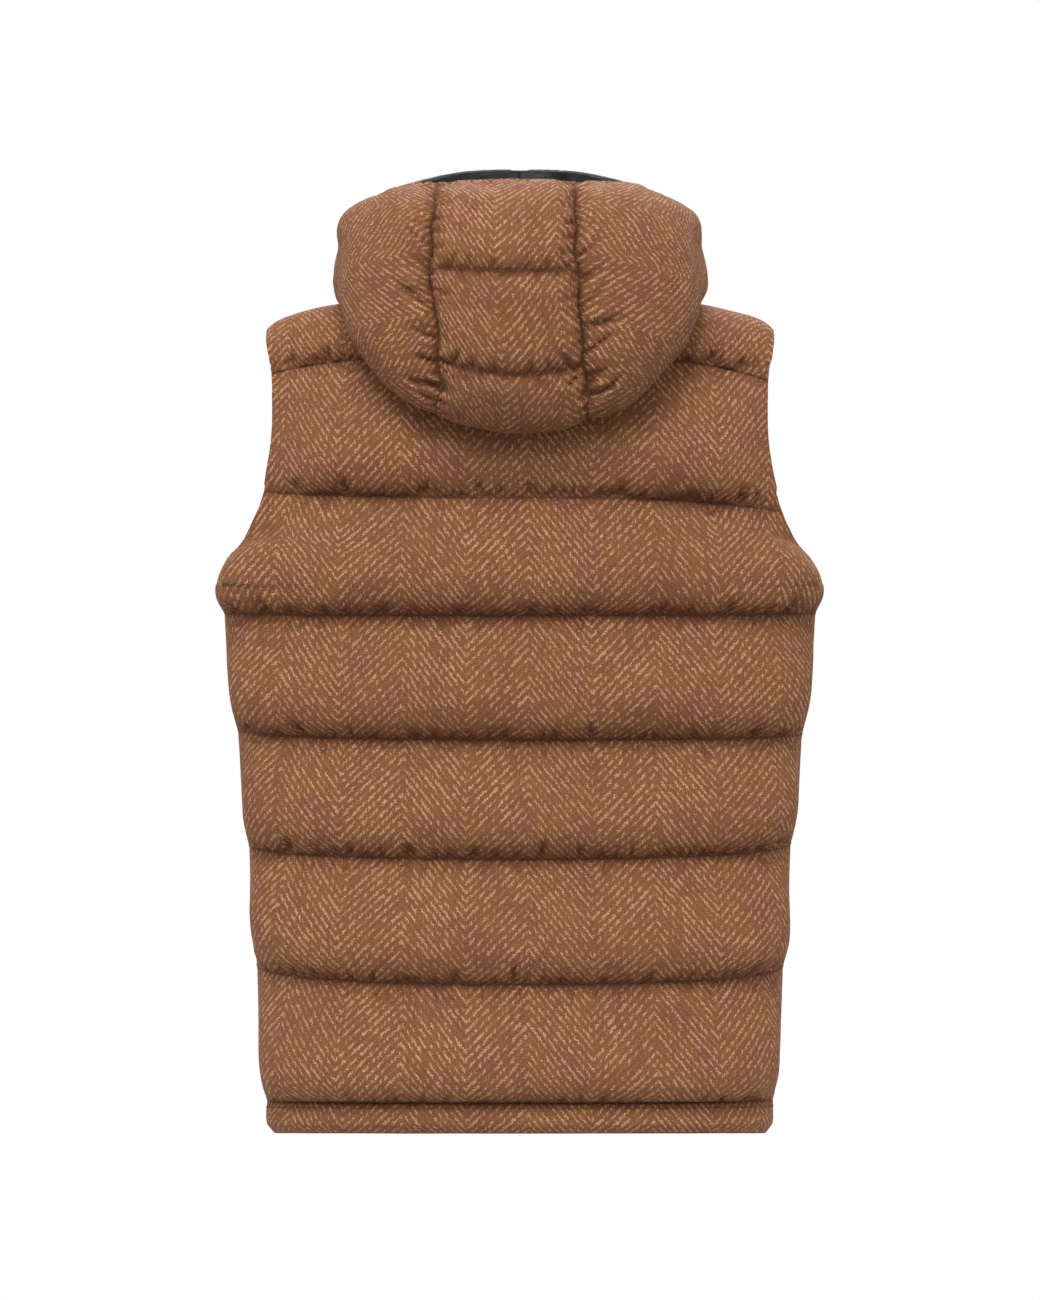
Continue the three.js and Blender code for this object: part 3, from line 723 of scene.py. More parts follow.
@dataclass(frozen=True)
class SlackCloth:
    """Cloth that its padding blows out between the seams, which gather it."""

    pressure: float = 2.0
    mass: float = 0.2
    air_damping: float = 3.0
    stretching: float = 12.0
    shearing: float = 4.0
    bending: float = 0.3
    quality: int = 4
    frames: int = 12
    level_reach: int = 5
    level_share: float = 0.9
    cap: float = 5.0

    def settle(self, points: Array, cut: Array, held: Array) -> Array:
        """Runs the cloth solver on every second point of a lattice.

        Args:
            points: the lattice as sewn, in millimetres.
            cut: the same lattice with the lengths that the cloth was cut to.
            held: true at the points that a seam or an edge holds.

        Returns:
            The lattice with the folds that the solver finds.
        """
        sewn, cut, held = points[::2, ::2], cut[::2, ::2], held[::2, ::2]
        ids = np.arange(held.size).reshape(held.shape)
        quads = np.stack([ids[:-1, :-1], ids[:-1, 1:], ids[1:, 1:], ids[1:, :-1]], -1).reshape(-1, 4)
        middle = (held.shape[0] // 2, held.shape[1] // 2)
        if grid_normals(sewn)[middle] @ (sewn[middle] * [1, 1, 0]) < 0:
            quads = quads[:, ::-1]
        corners = sewn.reshape(-1, 3)
        obj = make_mesh("slack_cloth", corners, quads.tolist(), corners[:, :2], [])
        obj.vertex_groups.new(name="held").add(ids[held].tolist(), 1.0, "REPLACE")
        obj.shape_key_add(name="sewn")
        key = obj.shape_key_add(name="cut")
        key.data.foreach_set("co", (cut * MM).ravel().astype(np.float32))
        cloth = obj.modifiers.new("cloth", "CLOTH")
        settings = cloth.settings
        settings.quality = self.quality
        settings.mass = self.mass
        settings.air_damping = self.air_damping
        settings.tension_stiffness = self.stretching
        settings.compression_stiffness = self.stretching
        settings.shear_stiffness = self.shearing
        settings.bending_stiffness = self.bending
        settings.vertex_group_mass = "held"
        settings.rest_shape_key = key
        settings.use_pressure = True
        settings.uniform_pressure_force = self.pressure
        settings.effector_weights.gravity = 0.0
        cloth.collision_settings.use_collision = False
        cloth.point_cache.frame_end = self.frames
        for number in range(1, self.frames + 1):
            bpy.context.scene.frame_set(number)
        solved = obj.evaluated_get(bpy.context.evaluated_depsgraph_get()).data
        found = np.empty(sewn.size, np.float32)
        solved.vertices.foreach_get("co", found)
        bpy.context.scene.frame_set(1)
        mesh = obj.data
        bpy.data.objects.remove(obj)
        bpy.data.meshes.remove(mesh)
        moved = found.reshape(sewn.shape) / MM - sewn
        moved = moved - self.level_share * levelled(moved, self.level_reach)
        moved[held] = 0
        far = np.linalg.norm(moved, axis=-1, keepdims=True)
        log.info("cloth solver moved points %.1f mm on average, %.1f mm at most", far.mean(), far.max())
        return points + refined(moved * np.minimum(1, self.cap / np.maximum(far, 1e-6)))


@dataclass
class Wall:
    """A closed wall of padded cloth between an outer and an inner lattice of points."""

    outer: Array
    inner: Array
    cloth: Array
    # painted shade that darkens the outer cloth's colour at each point
    painted_shade: Array
    free: Array
    lined_from: int = 2
    coarse: int = 4
    rings: tuple[tuple[float, float], ...] = ((0.1, 0.6), (0.5, 1.0), (0.9, 0.6))
    roundness: float = 0.25
    ring_step: float = 0.7

    def _perimeter(self) -> tuple[Array, Array]:
        """The lattice's edge, once round.

        Returns:
            The rows and the columns of its points.
        """
        rows, columns = (n - 1 for n in self.outer.shape[:2])
        i = [np.zeros(columns), np.arange(rows), np.full(columns, rows), np.arange(rows, 0, -1)]
        j = [np.arange(columns), np.full(rows, columns), np.arange(columns, 0, -1), np.zeros(rows)]
        return np.concatenate(i).astype(int), np.concatenate(j).astype(int)

    def build(self, name: str, materials: list[bpy.types.Material]) -> bpy.types.Object:
        """Makes the wall's mesh.

        Args:
            name: the piece's name.
            materials: the outer cloth's material and the inner cloth's.

        Returns:
            The new object.
        """
        rows, columns = self.outer.shape[:2]
        i, j = self._perimeter()
        edge, back_edge = self.outer[i, j], self.inner[i, j]
        inside = self.outer[np.clip(i, 1, rows - 2), np.clip(j, 1, columns - 2)]
        thickness = np.linalg.norm(edge - back_edge, axis=-1)
        swell = unit(edge - inside) * (thickness * self.roundness * self.free[i, j])[:, None]
        loops = [mix(edge, back_edge, share) + swell * rise for share, rise in self.rings]
        coarse = self.inner[:: self.coarse, :: self.coarse]
        points = np.concatenate([self.outer.reshape(-1, 3), *loops, coarse.reshape(-1, 3)])

        count, size = len(i), rows * columns
        ids = np.arange(size).reshape(rows, columns)
        quads = [np.stack([ids[:-1, :-1], ids[:-1, 1:], ids[1:, 1:], ids[1:, :-1]], -1).reshape(-1, 4)]
        ring_ids = [ids[i, j]] + [size + count * k + np.arange(count) for k in range(len(loops))]
        for low, high in zip(ring_ids, ring_ids[1:]):
            after, above = np.roll(low, -1), np.roll(high, -1)
            quads.append(np.stack([after, low, high, above], -1))
        back_ids = (size + count * len(loops) + np.arange(coarse[..., 0].size)).reshape(coarse.shape[:2])
        backs = [back_ids[:-1, :-1], back_ids[1:, :-1], back_ids[1:, 1:], back_ids[:-1, 1:]]
        quads.append(np.stack(backs, -1).reshape(-1, 4))
        step, half = self.coarse, self.coarse // 2
        near, far = ring_ids[-1], back_ids[i[::step] // step, j[::step] // step]
        after, beyond = np.roll(near, -1), np.roll(far, -1)
        fan = [
            np.stack([after[k::step], near[k::step], far if k < half else beyond], -1)
            for k in range(step)
        ]
        fan.append(np.stack([near[half::step], far, beyond], -1))
        faces = [face for group in quads for face in group.tolist()] + np.concatenate(fan).tolist()

        printed = len(quads[0]) + count * self.lined_from
        lined = np.arange(len(faces)) >= printed
        middle = (rows // 2, columns // 2)
        facing = grid_normals(self.outer)[middle] @ (self.outer[middle] - self.inner[middle])
        if facing < 0:
            faces = [face[::-1] for face in faces]
        cloth = np.concatenate(
            [self.cloth.reshape(-1, 2)]
            + [self.cloth[i, j] + self.ring_step * k for k in range(1, len(loops) + 1)]
            + [self.cloth[:: self.coarse, :: self.coarse].reshape(-1, 2)]
        )
        # The painted shade, none on the coarse back, goes to the mesh's 'seam' attribute, which the cloth's
        # colour reads.
        seam = np.concatenate(
            [self.painted_shade.ravel(), *[self.painted_shade[i, j]] * len(loops), np.zeros(back_ids.size)]
        )
        obj = make_mesh(name, points, faces, cloth, materials)
        obj.data.polygons.foreach_set("material_index", lined.astype(np.int32))
        shade = obj.data.attributes.new("seam", "FLOAT", "POINT")
        shade.data.foreach_set("value", seam.astype(np.float32))
        return obj


def make_mesh(
    name: str, points: Array, faces: list[list[int]], cloth: Array, materials: list[bpy.types.Material]
) -> bpy.types.Object:
    """Makes a smooth mesh object.

    Args:
        name: the piece's name.
        points: its points, in millimetres.
        faces: its faces.
        cloth: each point's place on the flat cloth, in millimetres.
        materials: its materials.

    Returns:
        The new object, in the scene.
    """
    mesh = bpy.data.meshes.new(name)
    mesh.from_pydata((points * MM).tolist(), [], faces)
    corners = np.empty(len(mesh.loops), np.int32)
    mesh.loops.foreach_get("vertex_index", corners)
    flat = mesh.uv_layers.new(name="cloth")
    flat.data.foreach_set("uv", (cloth[corners] * MM).ravel().astype(np.float32))
    mesh.polygons.foreach_set("use_smooth", np.ones(len(mesh.polygons), bool))
    for material in materials:
        mesh.materials.append(material)
    obj = bpy.data.objects.new(name, mesh)
    bpy.context.scene.collection.objects.link(obj)
    return obj


def tube_faces(base: int, sides: int, rings: int) -> list[list[int]]:
    """Lists the faces of a closed tube, whose rings of points follow one another.

    Args:
        base: the number of its first point.
        sides: how many points a ring has.
        rings: how many rings there are.

    Returns:
        The faces.
    """
    faces = []
    for level in range(rings - 1):
        low = base + sides * level + np.arange(sides)
        after = np.roll(low, -1)
        faces += np.stack([low, after, after + sides, low + sides], -1).tolist()
    last = base + sides * (rings - 1)
    return faces + [list(range(base + sides - 1, base - 1, -1)), list(range(last, last + sides))]


class Signal:
    """A value on its way through a shader: arithmetic on it adds Math nodes."""

    def __init__(self, shader: "Shader", socket: bpy.types.NodeSocket) -> None:
        """Wraps a node's output."""
        self.shader = shader
        self.socket = socket

    def _math(self, operation: str, *values: "Signal | float") -> "Signal":
        """A Math node's result."""
        return self.shader.add("ShaderNodeMath", {"operation": operation}, dict(enumerate(values)))

    def __add__(self, other: "Signal | float") -> "Signal":
        """Sum."""
        return self._math("ADD", self, other)

    def __radd__(self, other: float) -> "Signal":
        """Sum, with the number first."""
        return self._math("ADD", other, self)

    def __sub__(self, other: "Signal | float") -> "Signal":
        """Difference."""
        return self._math("SUBTRACT", self, other)

    def __rsub__(self, other: float) -> "Signal":
        """Difference, with the number first."""
        return self._math("SUBTRACT", other, self)

    def __mul__(self, other: "Signal | float") -> "Signal":
        """Product."""
        return self._math("MULTIPLY", self, other)

    def __rmul__(self, other: float) -> "Signal":
        """Product, with the number first."""
        return self._math("MULTIPLY", other, self)

    def zigzag(self, size: float) -> "Signal":
        """The value folded to and fro between 0 and a size."""
        return self._math("PINGPONG", self, size)

    def floor(self) -> "Signal":
        """The whole number below."""
        return self._math("FLOOR", self)

    def ramp(self, low: float, high: float) -> "Signal":
        """A smooth rise from 0 at low to 1 at high."""
        inputs = {"Value": self, "From Min": low, "From Max": high}
        return self.shader.add("ShaderNodeMapRange", {"interpolation_type": "SMOOTHSTEP"}, inputs)


class Shader:
    """The node tree of a material or of the world."""

    def __init__(self, tree: bpy.types.NodeTree) -> None:
        """Empties the tree."""
        tree.nodes.clear()
        self.tree = tree

    def add(
        self, kind: str, settings: dict[str, object], inputs: dict[int | str, object], output: int | str = 0
    ) -> Signal:
        """Adds a node.

        Args:
            kind: the node's type.
            settings: its properties, which are set first. "stops" are a ramp's places and colours.
            inputs: values or links of its sockets.
            output: the output that is wanted.

        Returns:
            That output.
        """
        node = self.tree.nodes.new(kind)
        for name, value in settings.items():
            if name == "stops":
                self._set_stops(node.color_ramp, value)
            else:
                setattr(node, name, value)
        for name, value in inputs.items():
            if isinstance(value, Signal):
                self.tree.links.new(value.socket, node.inputs[name])
            else:
                node.inputs[name].default_value = value
        return Signal(self, node.outputs[output] if node.outputs else None)

    def _set_stops(self, ramp: bpy.types.ColorRamp, stops: list[tuple[float, Colour]]) -> None:
        """Gives a ramp its stops.

        Args:
            ramp: the ramp.
            stops: each stop's place and colour.
        """
        while len(ramp.elements) < len(stops):
            ramp.elements.new(1)
        for element, (place, colour) in zip(ramp.elements, stops):
            element.position, element.color = place, colour

    def place(self) -> tuple[Signal, Signal, Signal]:
        """Finds the place on the flat cloth, in metres.

        Returns:
            The place as a vector, and its distance along and up the cloth.
        """
        cloth = self.add("ShaderNodeUVMap", {"uv_map": "cloth"}, {})
        along = self.add("ShaderNodeSeparateXYZ", {}, {0: cloth}, 0)
        up = self.add("ShaderNodeSeparateXYZ", {}, {0: cloth}, 1)
        return cloth, along, up

    def vector(self, x: Signal | float, y: Signal | float, z: Signal | float) -> Signal:
        """A vector of three values."""
        return self.add("ShaderNodeCombineXYZ", {}, {0: x, 1: y, 2: z})

    def noise(self, vector: Signal, scale: float, detail: float = 2.0) -> Signal:
        """Noise around one half."""
        return self.add("ShaderNodeTexNoise", {}, {"Vector": vector, "Scale": scale, "Detail": detail})

    def blend(self, share: Signal | float, start: Signal | Colour, end: Signal | Colour) -> Signal:
        """A colour between two."""
        return self.add("ShaderNodeMix", {"data_type": "RGBA"}, {0: share, 6: start, 7: end}, 2)

    def attribute(self, name: str) -> Signal:
        """A number that the mesh carries at its points."""
        return self.add("ShaderNodeAttribute", {"attribute_name": name}, {}, "Fac")

    def bump(self, height: Signal, distance: float, strength: float = 1.0) -> Signal:
        """Normals of a relief of a height in metres."""
        inputs = {"Height": height, "Distance": distance, "Strength": strength}
        return self.add("ShaderNodeBump", {}, inputs)

    def surface(self, **sockets: object) -> None:
        """Ends a material in a Principled shader.

        Args:
            sockets: values or links of its sockets, whose names have _ for a space.
        """
        inputs = {name.replace("_", " "): value for name, value in sockets.items()}
        bsdf = self.add("ShaderNodeBsdfPrincipled", {}, inputs)
        self.add("ShaderNodeOutputMaterial", {}, {"Surface": bsdf})


@dataclass(frozen=True)
class Finish:
    """What every finish has: its name, and a material with an empty shader."""

    name: str

    def shader(self) -> tuple[bpy.types.Material, Shader]:
        """Makes an empty material.

        Returns:
            The material and its shader.
        """
        material = bpy.data.materials.new(self.name)
        material.use_nodes = True
        return material, Shader(material.node_tree)


@dataclass(frozen=True)
class PrintedCloth(Finish):
    """Matt cloth printed with a broken herringbone of short strokes, darkened by the painted shade that the
    mesh carries.
    """

    column: float = 0.050
    period: float = 0.0073
    slope: float = 1.14
    skew: float = 0.14
    dash: float = 0.0024
    ground_red: Colour = (0.208, 0.070, 0.032, 1)
    ground_gold: Colour = (0.228, 0.088, 0.029, 1)
    stroke_pink: Colour = (0.760, 0.402, 0.250, 1)
    stroke_gold: Colour = (0.760, 0.430, 0.215, 1)
    # Colour of the print's dark specks and of the painted shade in hollows, under folds and beside seams.
    deep: Colour = (0.072, 0.019, 0.006, 1)
    bloom: Colour = (0.550, 0.310, 0.200, 1)

    def material(self) -> bpy.types.Material:
        """Makes the material.

        Returns:
            The material.
        """
        material, s = self.shader()
        cloth, along, up = s.place()
        jitter = (s.noise(cloth, 300, 1.0) - 0.5) * 0.0035
        fold = (along + jitter).zigzag(self.column)
        line = (up + self.slope * fold + self.skew * along) * (1 / self.period)
        wobble = s.noise(cloth, 520, 1.0) - 0.5
        stroke = (line + 0.3 * wobble).zigzag(0.5) * 2
        stripe = (along * (1 / self.column)).floor() * 7.3
        dash = s.noise(s.vector(line * 0.9, fold * (1 / self.dash), stripe), 1.0, 0.0)
        ragged = s.noise(cloth, 850, 1.0) - 0.5
        fleck = s.noise(cloth, 1050, 0.0).ramp(0.38, 0.60)
        streak = (stroke + 1.6 * ragged).ramp(0.48, 0.82) * (0.14 + 0.86 * dash.ramp(0.42, 0.55))
        grain = s.noise(cloth, 1250, 0.0).ramp(0.48, 0.72)
        streak = streak * (0.38 + 0.74 * fleck) + 0.26 * grain
        patch = s.noise(cloth, 34, 2.0).ramp(0.36, 0.64)
        faded = s.noise(cloth, 14, 1.0).ramp(0.3, 0.7)
        speckle = s.noise(cloth, 1000, 2.0).ramp(0.34, 0.66)
        ground = s.blend(patch, self.ground_red, self.ground_gold)
        light = s.blend(patch * 0.6 + faded * 0.4, self.stroke_pink, self.stroke_gold)
        colour = s.blend(streak * (0.74 + 0.26 * faded), ground, light)
        # Dark print specks, and painted shade from the mesh's 'seam' attribute: darker in hollows, under
        # folds and beside seams.
        seam = s.attribute("seam")
        colour = s.blend(0.46 * speckle + 0.56 * seam, colour, self.deep)
        crinkle = s.noise(cloth, 170, 3.0)
        height = streak * 0.25 + speckle * 0.25 + crinkle * (0.8 + 1.6 * seam)
        s.surface(
            Base_Color=colour,
            Roughness=0.88 - 0.08 * streak,
            Normal=s.bump(height, 0.0007),
            Sheen_Weight=0.06,
            Sheen_Roughness=0.5,
            Sheen_Tint=self.bloom,
            Specular_IOR_Level=0.25,
        )
        return material


@dataclass(frozen=True)
class LiningCloth(Finish):
    """Thin black woven lining with a slight sheen."""

    dark: Colour = (0.006, 0.006, 0.008, 1)
    light: Colour = (0.016, 0.016, 0.020, 1)

    def material(self) -> bpy.types.Material:
        """Makes the material.

        Returns:
            The material.
        """
        material, s = self.shader()
        cloth, along, up = s.place()
        threads = (along * 1600).zigzag(0.5) + (up * 1600).zigzag(0.5)
        worn = s.noise(cloth, 45, 2.0).ramp(0.3, 0.7)
        wrinkle = s.noise(cloth, 60, 3.0)
        s.surface(
            Base_Color=s.blend(worn * 0.6 + threads * 0.3, self.dark, self.light),
            Roughness=0.46 + 0.18 * worn,
            Normal=s.bump(threads * 0.05 + wrinkle * 1.6, 0.0009),
            Sheen_Weight=0.2,
            Sheen_Roughness=0.4,
        )
        return material


@dataclass(frozen=True)
class TapeWeave(Finish):
    """The zip tape's ribbed weave."""

    dark: Colour = (0.011, 0.008, 0.007, 1)
    light: Colour = (0.040, 0.028, 0.022, 1)

    def material(self) -> bpy.types.Material:
        """Makes the material.

        Returns:
            The material.
        """
        material, s = self.shader()
        cloth, along, up = s.place()
        rib = (up * 1250 + (along * 900).zigzag(0.5)).zigzag(0.5) * 2
        fluff = s.noise(cloth, 1500, 2.0)
        s.surface(
            Base_Color=s.blend(rib * 0.6 + fluff * 0.3, self.dark, self.light),
            Roughness=0.8 + 0.1 * fluff,
            Normal=s.bump(rib * 0.6 + fluff * 0.3, 0.0003),
        )
        return material


@dataclass(frozen=True)
class ThreadTwist(Finish):
    """Sewing thread with the twist of its plies."""

    dark: Colour = (0.060, 0.024, 0.011, 1)
    light: Colour = (0.150, 0.066, 0.030, 1)

    def material(self) -> bpy.types.Material:
        """Makes the material.

        Returns:
            The material.
        """
        material, s = self.shader()
        cloth, along, up = s.place()
        ply = (along * 2600 + up * 1500).zigzag(0.5) * 2
        s.surface(
            Base_Color=s.blend(ply, self.dark, self.light),
            Roughness=0.6 + 0.15 * ply,
            Normal=s.bump(ply, 0.00012),
        )
        return material


@dataclass(frozen=True)
class Moulded(Finish):
    """Moulded plastic teeth."""

    dark: Colour = (0.018, 0.012, 0.009, 1)
    light: Colour = (0.045, 0.031, 0.024, 1)

    def material(self) -> bpy.types.Material:
        """Makes the material.

        Returns:
            The material.
        """
        material, s = self.shader()
        place = s.add("ShaderNodeTexCoord", {}, {}, "Object")
        cloudy, fine = s.noise(place, 260, 3.0), s.noise(place, 2200, 1.0)
        s.surface(
            Base_Color=s.blend(cloudy.ramp(0.35, 0.7), self.dark, self.light),
            Roughness=0.32 + 0.2 * cloudy,
            Normal=s.bump(fine, 0.00005),
        )
        return material


@dataclass(frozen=True)
class BrushedMetal(Finish):
    """Dark brushed steel, rubbed bright in places."""

    dark: Colour = (0.150, 0.136, 0.122, 1)
    bright: Colour = (0.400, 0.374, 0.340, 1)

    def material(self) -> bpy.types.Material:
        """Makes the material.

        Returns:
            The material.
        """
        material, s = self.shader()
        place = s.add("ShaderNodeTexCoord", {}, {}, "Object")
        stretched = s.add("ShaderNodeMapping", {}, {"Vector": place, "Scale": (6.0, 6.0, 0.35)})
        brushed = s.noise(stretched, 700, 3.0)
        rubbed = s.noise(place, 190, 2.0).ramp(0.3, 0.75)
        s.surface(
            Base_Color=s.blend(0.3 * rubbed + 0.5 * brushed, self.dark, self.bright),
            Metallic=1.0,
            Roughness=0.24 + 0.28 * brushed,
            Normal=s.bump(brushed, 0.00004),
        )
        return material


@dataclass(frozen=True)
class PaleFloor(Finish):
    """The studio's plain pale floor."""

    light: Colour = (0.86, 0.86, 0.86, 1)
    shade: Colour = (0.82, 0.82, 0.82, 1)

    def material(self) -> bpy.types.Material:
        """Makes the material.

        Returns:
            The material.
        """
        material, s = self.shader()
        place = s.add("ShaderNodeTexCoord", {}, {}, "Object")
        s.surface(Base_Color=s.blend(s.noise(place, 3, 2.0), self.light, self.shade), Roughness=0.9)
        return material


class Wardrobe:
    """Every finish of the garment, each made once."""

    def __init__(self) -> None:
        """Makes the materials."""
        self.cloth = PrintedCloth("printed_cloth_finish").material()
        self.lining = LiningCloth("lining_finish").material()
        self.tape = TapeWeave("zip_tape_finish").material()
        self.teeth = Moulded("zip_teeth_finish").material()
        self.metal = BrushedMetal("zip_metal_finish").material()
        self.thread = ThreadTwist("thread_finish").material()


def settle(
    obj: bpy.types.Object, nodes: tuple[str, ...] = (), body: str = BODY
) -> bpy.types.Object:
    """Puts a piece on its body and in place of its solids.

    Args:
        obj: the piece.
        nodes: the solids that it stands for.
        body: the body that it moves with.

    Returns:
        The same piece.
    """
    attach(obj, body)
    if nodes:
        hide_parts(*nodes)
    log.info("made %s with %d faces", obj.name, len(obj.data.polygons))
    return obj


@dataclass
class SeamLine:
    """A line of stitches: its points, and the way out of the cloth at each."""

    points: Array
    out: Array


def across_cloth(inner: Array, side: Side | None, zip_opening: float) -> Array:
    """Measures level distance round the body, positive to the wearer's left.

    Args:
        inner: the panel's inner face.
        side: the front's side, or None for the back.
        zip_opening: where a front starts, from the middle.

    Returns:
        The distance at each point.
    """
    distance = travelled(inner * [1, 1, 0], 1)
    if side is None:
        return distance - distance[:, [distance.shape[1] // 2]]
    return side.value * (distance + zip_opening)


@dataclass(frozen=True)
class Layout:
    """Where the body's cut pieces lie on the flat cloth."""

    low: float = 650.0
    slant: float = 1.06
    back_shift: float = 7.0
    front_shift: float = 25.0

    def height(self, inner: Array) -> Array:
        """Heights on the flat cloth of points of the inner face."""
        return (inner[..., 2] + self.low) * self.slant

    def places(self, along: Array, up: Array, side: Side | None) -> Array:
        """Places on the flat cloth, from distances round the body and up the cloth."""
        return np.stack([-along - (self.front_shift if side else self.back_shift), up], -1)


# The folds above each seam. Each has its place along the seam, width, reach, depth and lean.
BACK_FOLDS = {
    0: [
        (-214, 5, 9, 1.6, 0.1), (-120, 4, 8, 1.4, -0.2), (-20, 5, 10, 1.5, 0.1), (96, 4, 8, 1.5, 0.2),
        (190, 5, 9, 1.8, -0.1),
    ],
    1: [
        (-239, 5, 14, 2.2, 0.2), (-198, 4, 21, 2.9, -0.1), (-151, 6, 16, 2.0, 0.3), (-97, 4, 13, 2.5, -0.2),
        (-52, 5, 22, 2.6, 0.1), (-5, 4, 27, 4.2, 0.0), (39, 5, 15, 2.1, -0.3), (102, 6, 19, 2.8, 0.2),
        (149, 4, 13, 2.4, -0.1), (188, 5, 23, 3.0, 0.25), (230, 4, 15, 2.5, -0.2),
    ],
    2: [
        (-236, 4, 17, 2.6, -0.2), (-193, 7, 25, 3.6, 0.3), (-147, 5, 17, 2.6, -0.15), (-90, 7, 21, 3.2, 0.1),
        (-36, 5, 18, 2.9, -0.2), (17, 4, 25, 4.1, 0.1), (64, 5, 14, 2.2, 0.25), (120, 6, 19, 2.7, -0.1),
        (164, 4, 16, 2.4, 0.15), (222, 5, 20, 3.0, -0.25),
    ],
    3: [
        (-231, 5, 19, 2.8, 0.15), (-176, 6, 23, 3.3, -0.2), (-118, 5, 15, 2.3, 0.2), (-67, 4, 17, 2.7, -0.1),
        (-14, 6, 20, 2.6, 0.15), (58, 4, 24, 3.9, -0.1), (97, 5, 14, 2.2, 0.2), (141, 5, 18, 2.8, -0.25),
        (190, 6, 22, 3.1, 0.1), (238, 4, 14, 2.4, 0.0),
    ],
    4: [
        (-243, 5, 20, 3.2, 0.25), (-206, 6, 27, 3.8, -0.15), (-158, 5, 18, 2.8, 0.2),
        (-109, 6, 22, 3.0, 0.1), (-48, 5, 16, 2.4, -0.2), (9, 5, 19, 2.6, 0.1),
        (61, 6, 17, 2.5, -0.15), (112, 4, 21, 3.0, 0.2),
        (171, 6, 24, 3.4, -0.1), (219, 5, 26, 3.7, 0.15), (248, 4, 15, 2.8, -0.2),
    ],
    5: [
        (-186, 5, 17, 2.6, 0.2), (-139, 6, 23, 3.3, -0.1), (-82, 5, 15, 2.2, 0.25), (-31, 5, 18, 2.5, -0.15),
        (26, 4, 14, 2.1, 0.1), (84, 6, 19, 2.7, -0.2), (137, 5, 17, 2.9, 0.15), (182, 5, 22, 3.2, -0.1),
    ],
    6: [(-188, 5, 15, 2.3, -0.2), (-160, 4, 19, 2.6, 0.2), (158, 5, 17, 2.4, -0.15), (186, 4, 14, 2.5, 0.2)],
}
FRONT_FOLDS = {
    0: [(30, 4, 8, 1.4, 0.1), (104, 5, 9, 1.6, -0.2), (198, 4, 8, 1.5, 0.1)],
    1: [
        (24, 4, 18, 2.8, 0.15), (71, 6, 15, 2.2, -0.2), (127, 5, 22, 2.9, 0.1), (176, 4, 14, 2.4, -0.1),
        (228, 5, 18, 2.7, 0.2),
    ],
    2: [(31, 5, 20, 3.0, -0.1), (88, 5, 14, 2.3, 0.2), (140, 6, 21, 3.0, -0.15), (203, 5, 17, 2.6, 0.1)],
    3: [
        (22, 4, 16, 2.7, 0.2), (66, 5, 19, 2.6, -0.1), (119, 5, 15, 2.4, 0.15), (170, 6, 23, 3.2, -0.2),
        (229, 4, 15, 2.5, 0.1),
    ],
    4: [
        (28, 5, 19, 2.9, -0.15), (79, 5, 16, 2.4, 0.1), (133, 6, 20, 2.8, 0.2), (190, 5, 24, 3.5, -0.1),
        (236, 4, 17, 2.9, 0.15),
    ],
    5: [(26, 4, 15, 2.5, 0.1), (74, 5, 18, 2.7, -0.2), (129, 5, 21, 3.0, 0.15), (172, 4, 16, 2.6, -0.1)],
    6: [(40, 5, 14, 2.0, 0.1), (121, 4, 16, 2.4, -0.15), (170, 5, 18, 2.7, 0.2)],
}


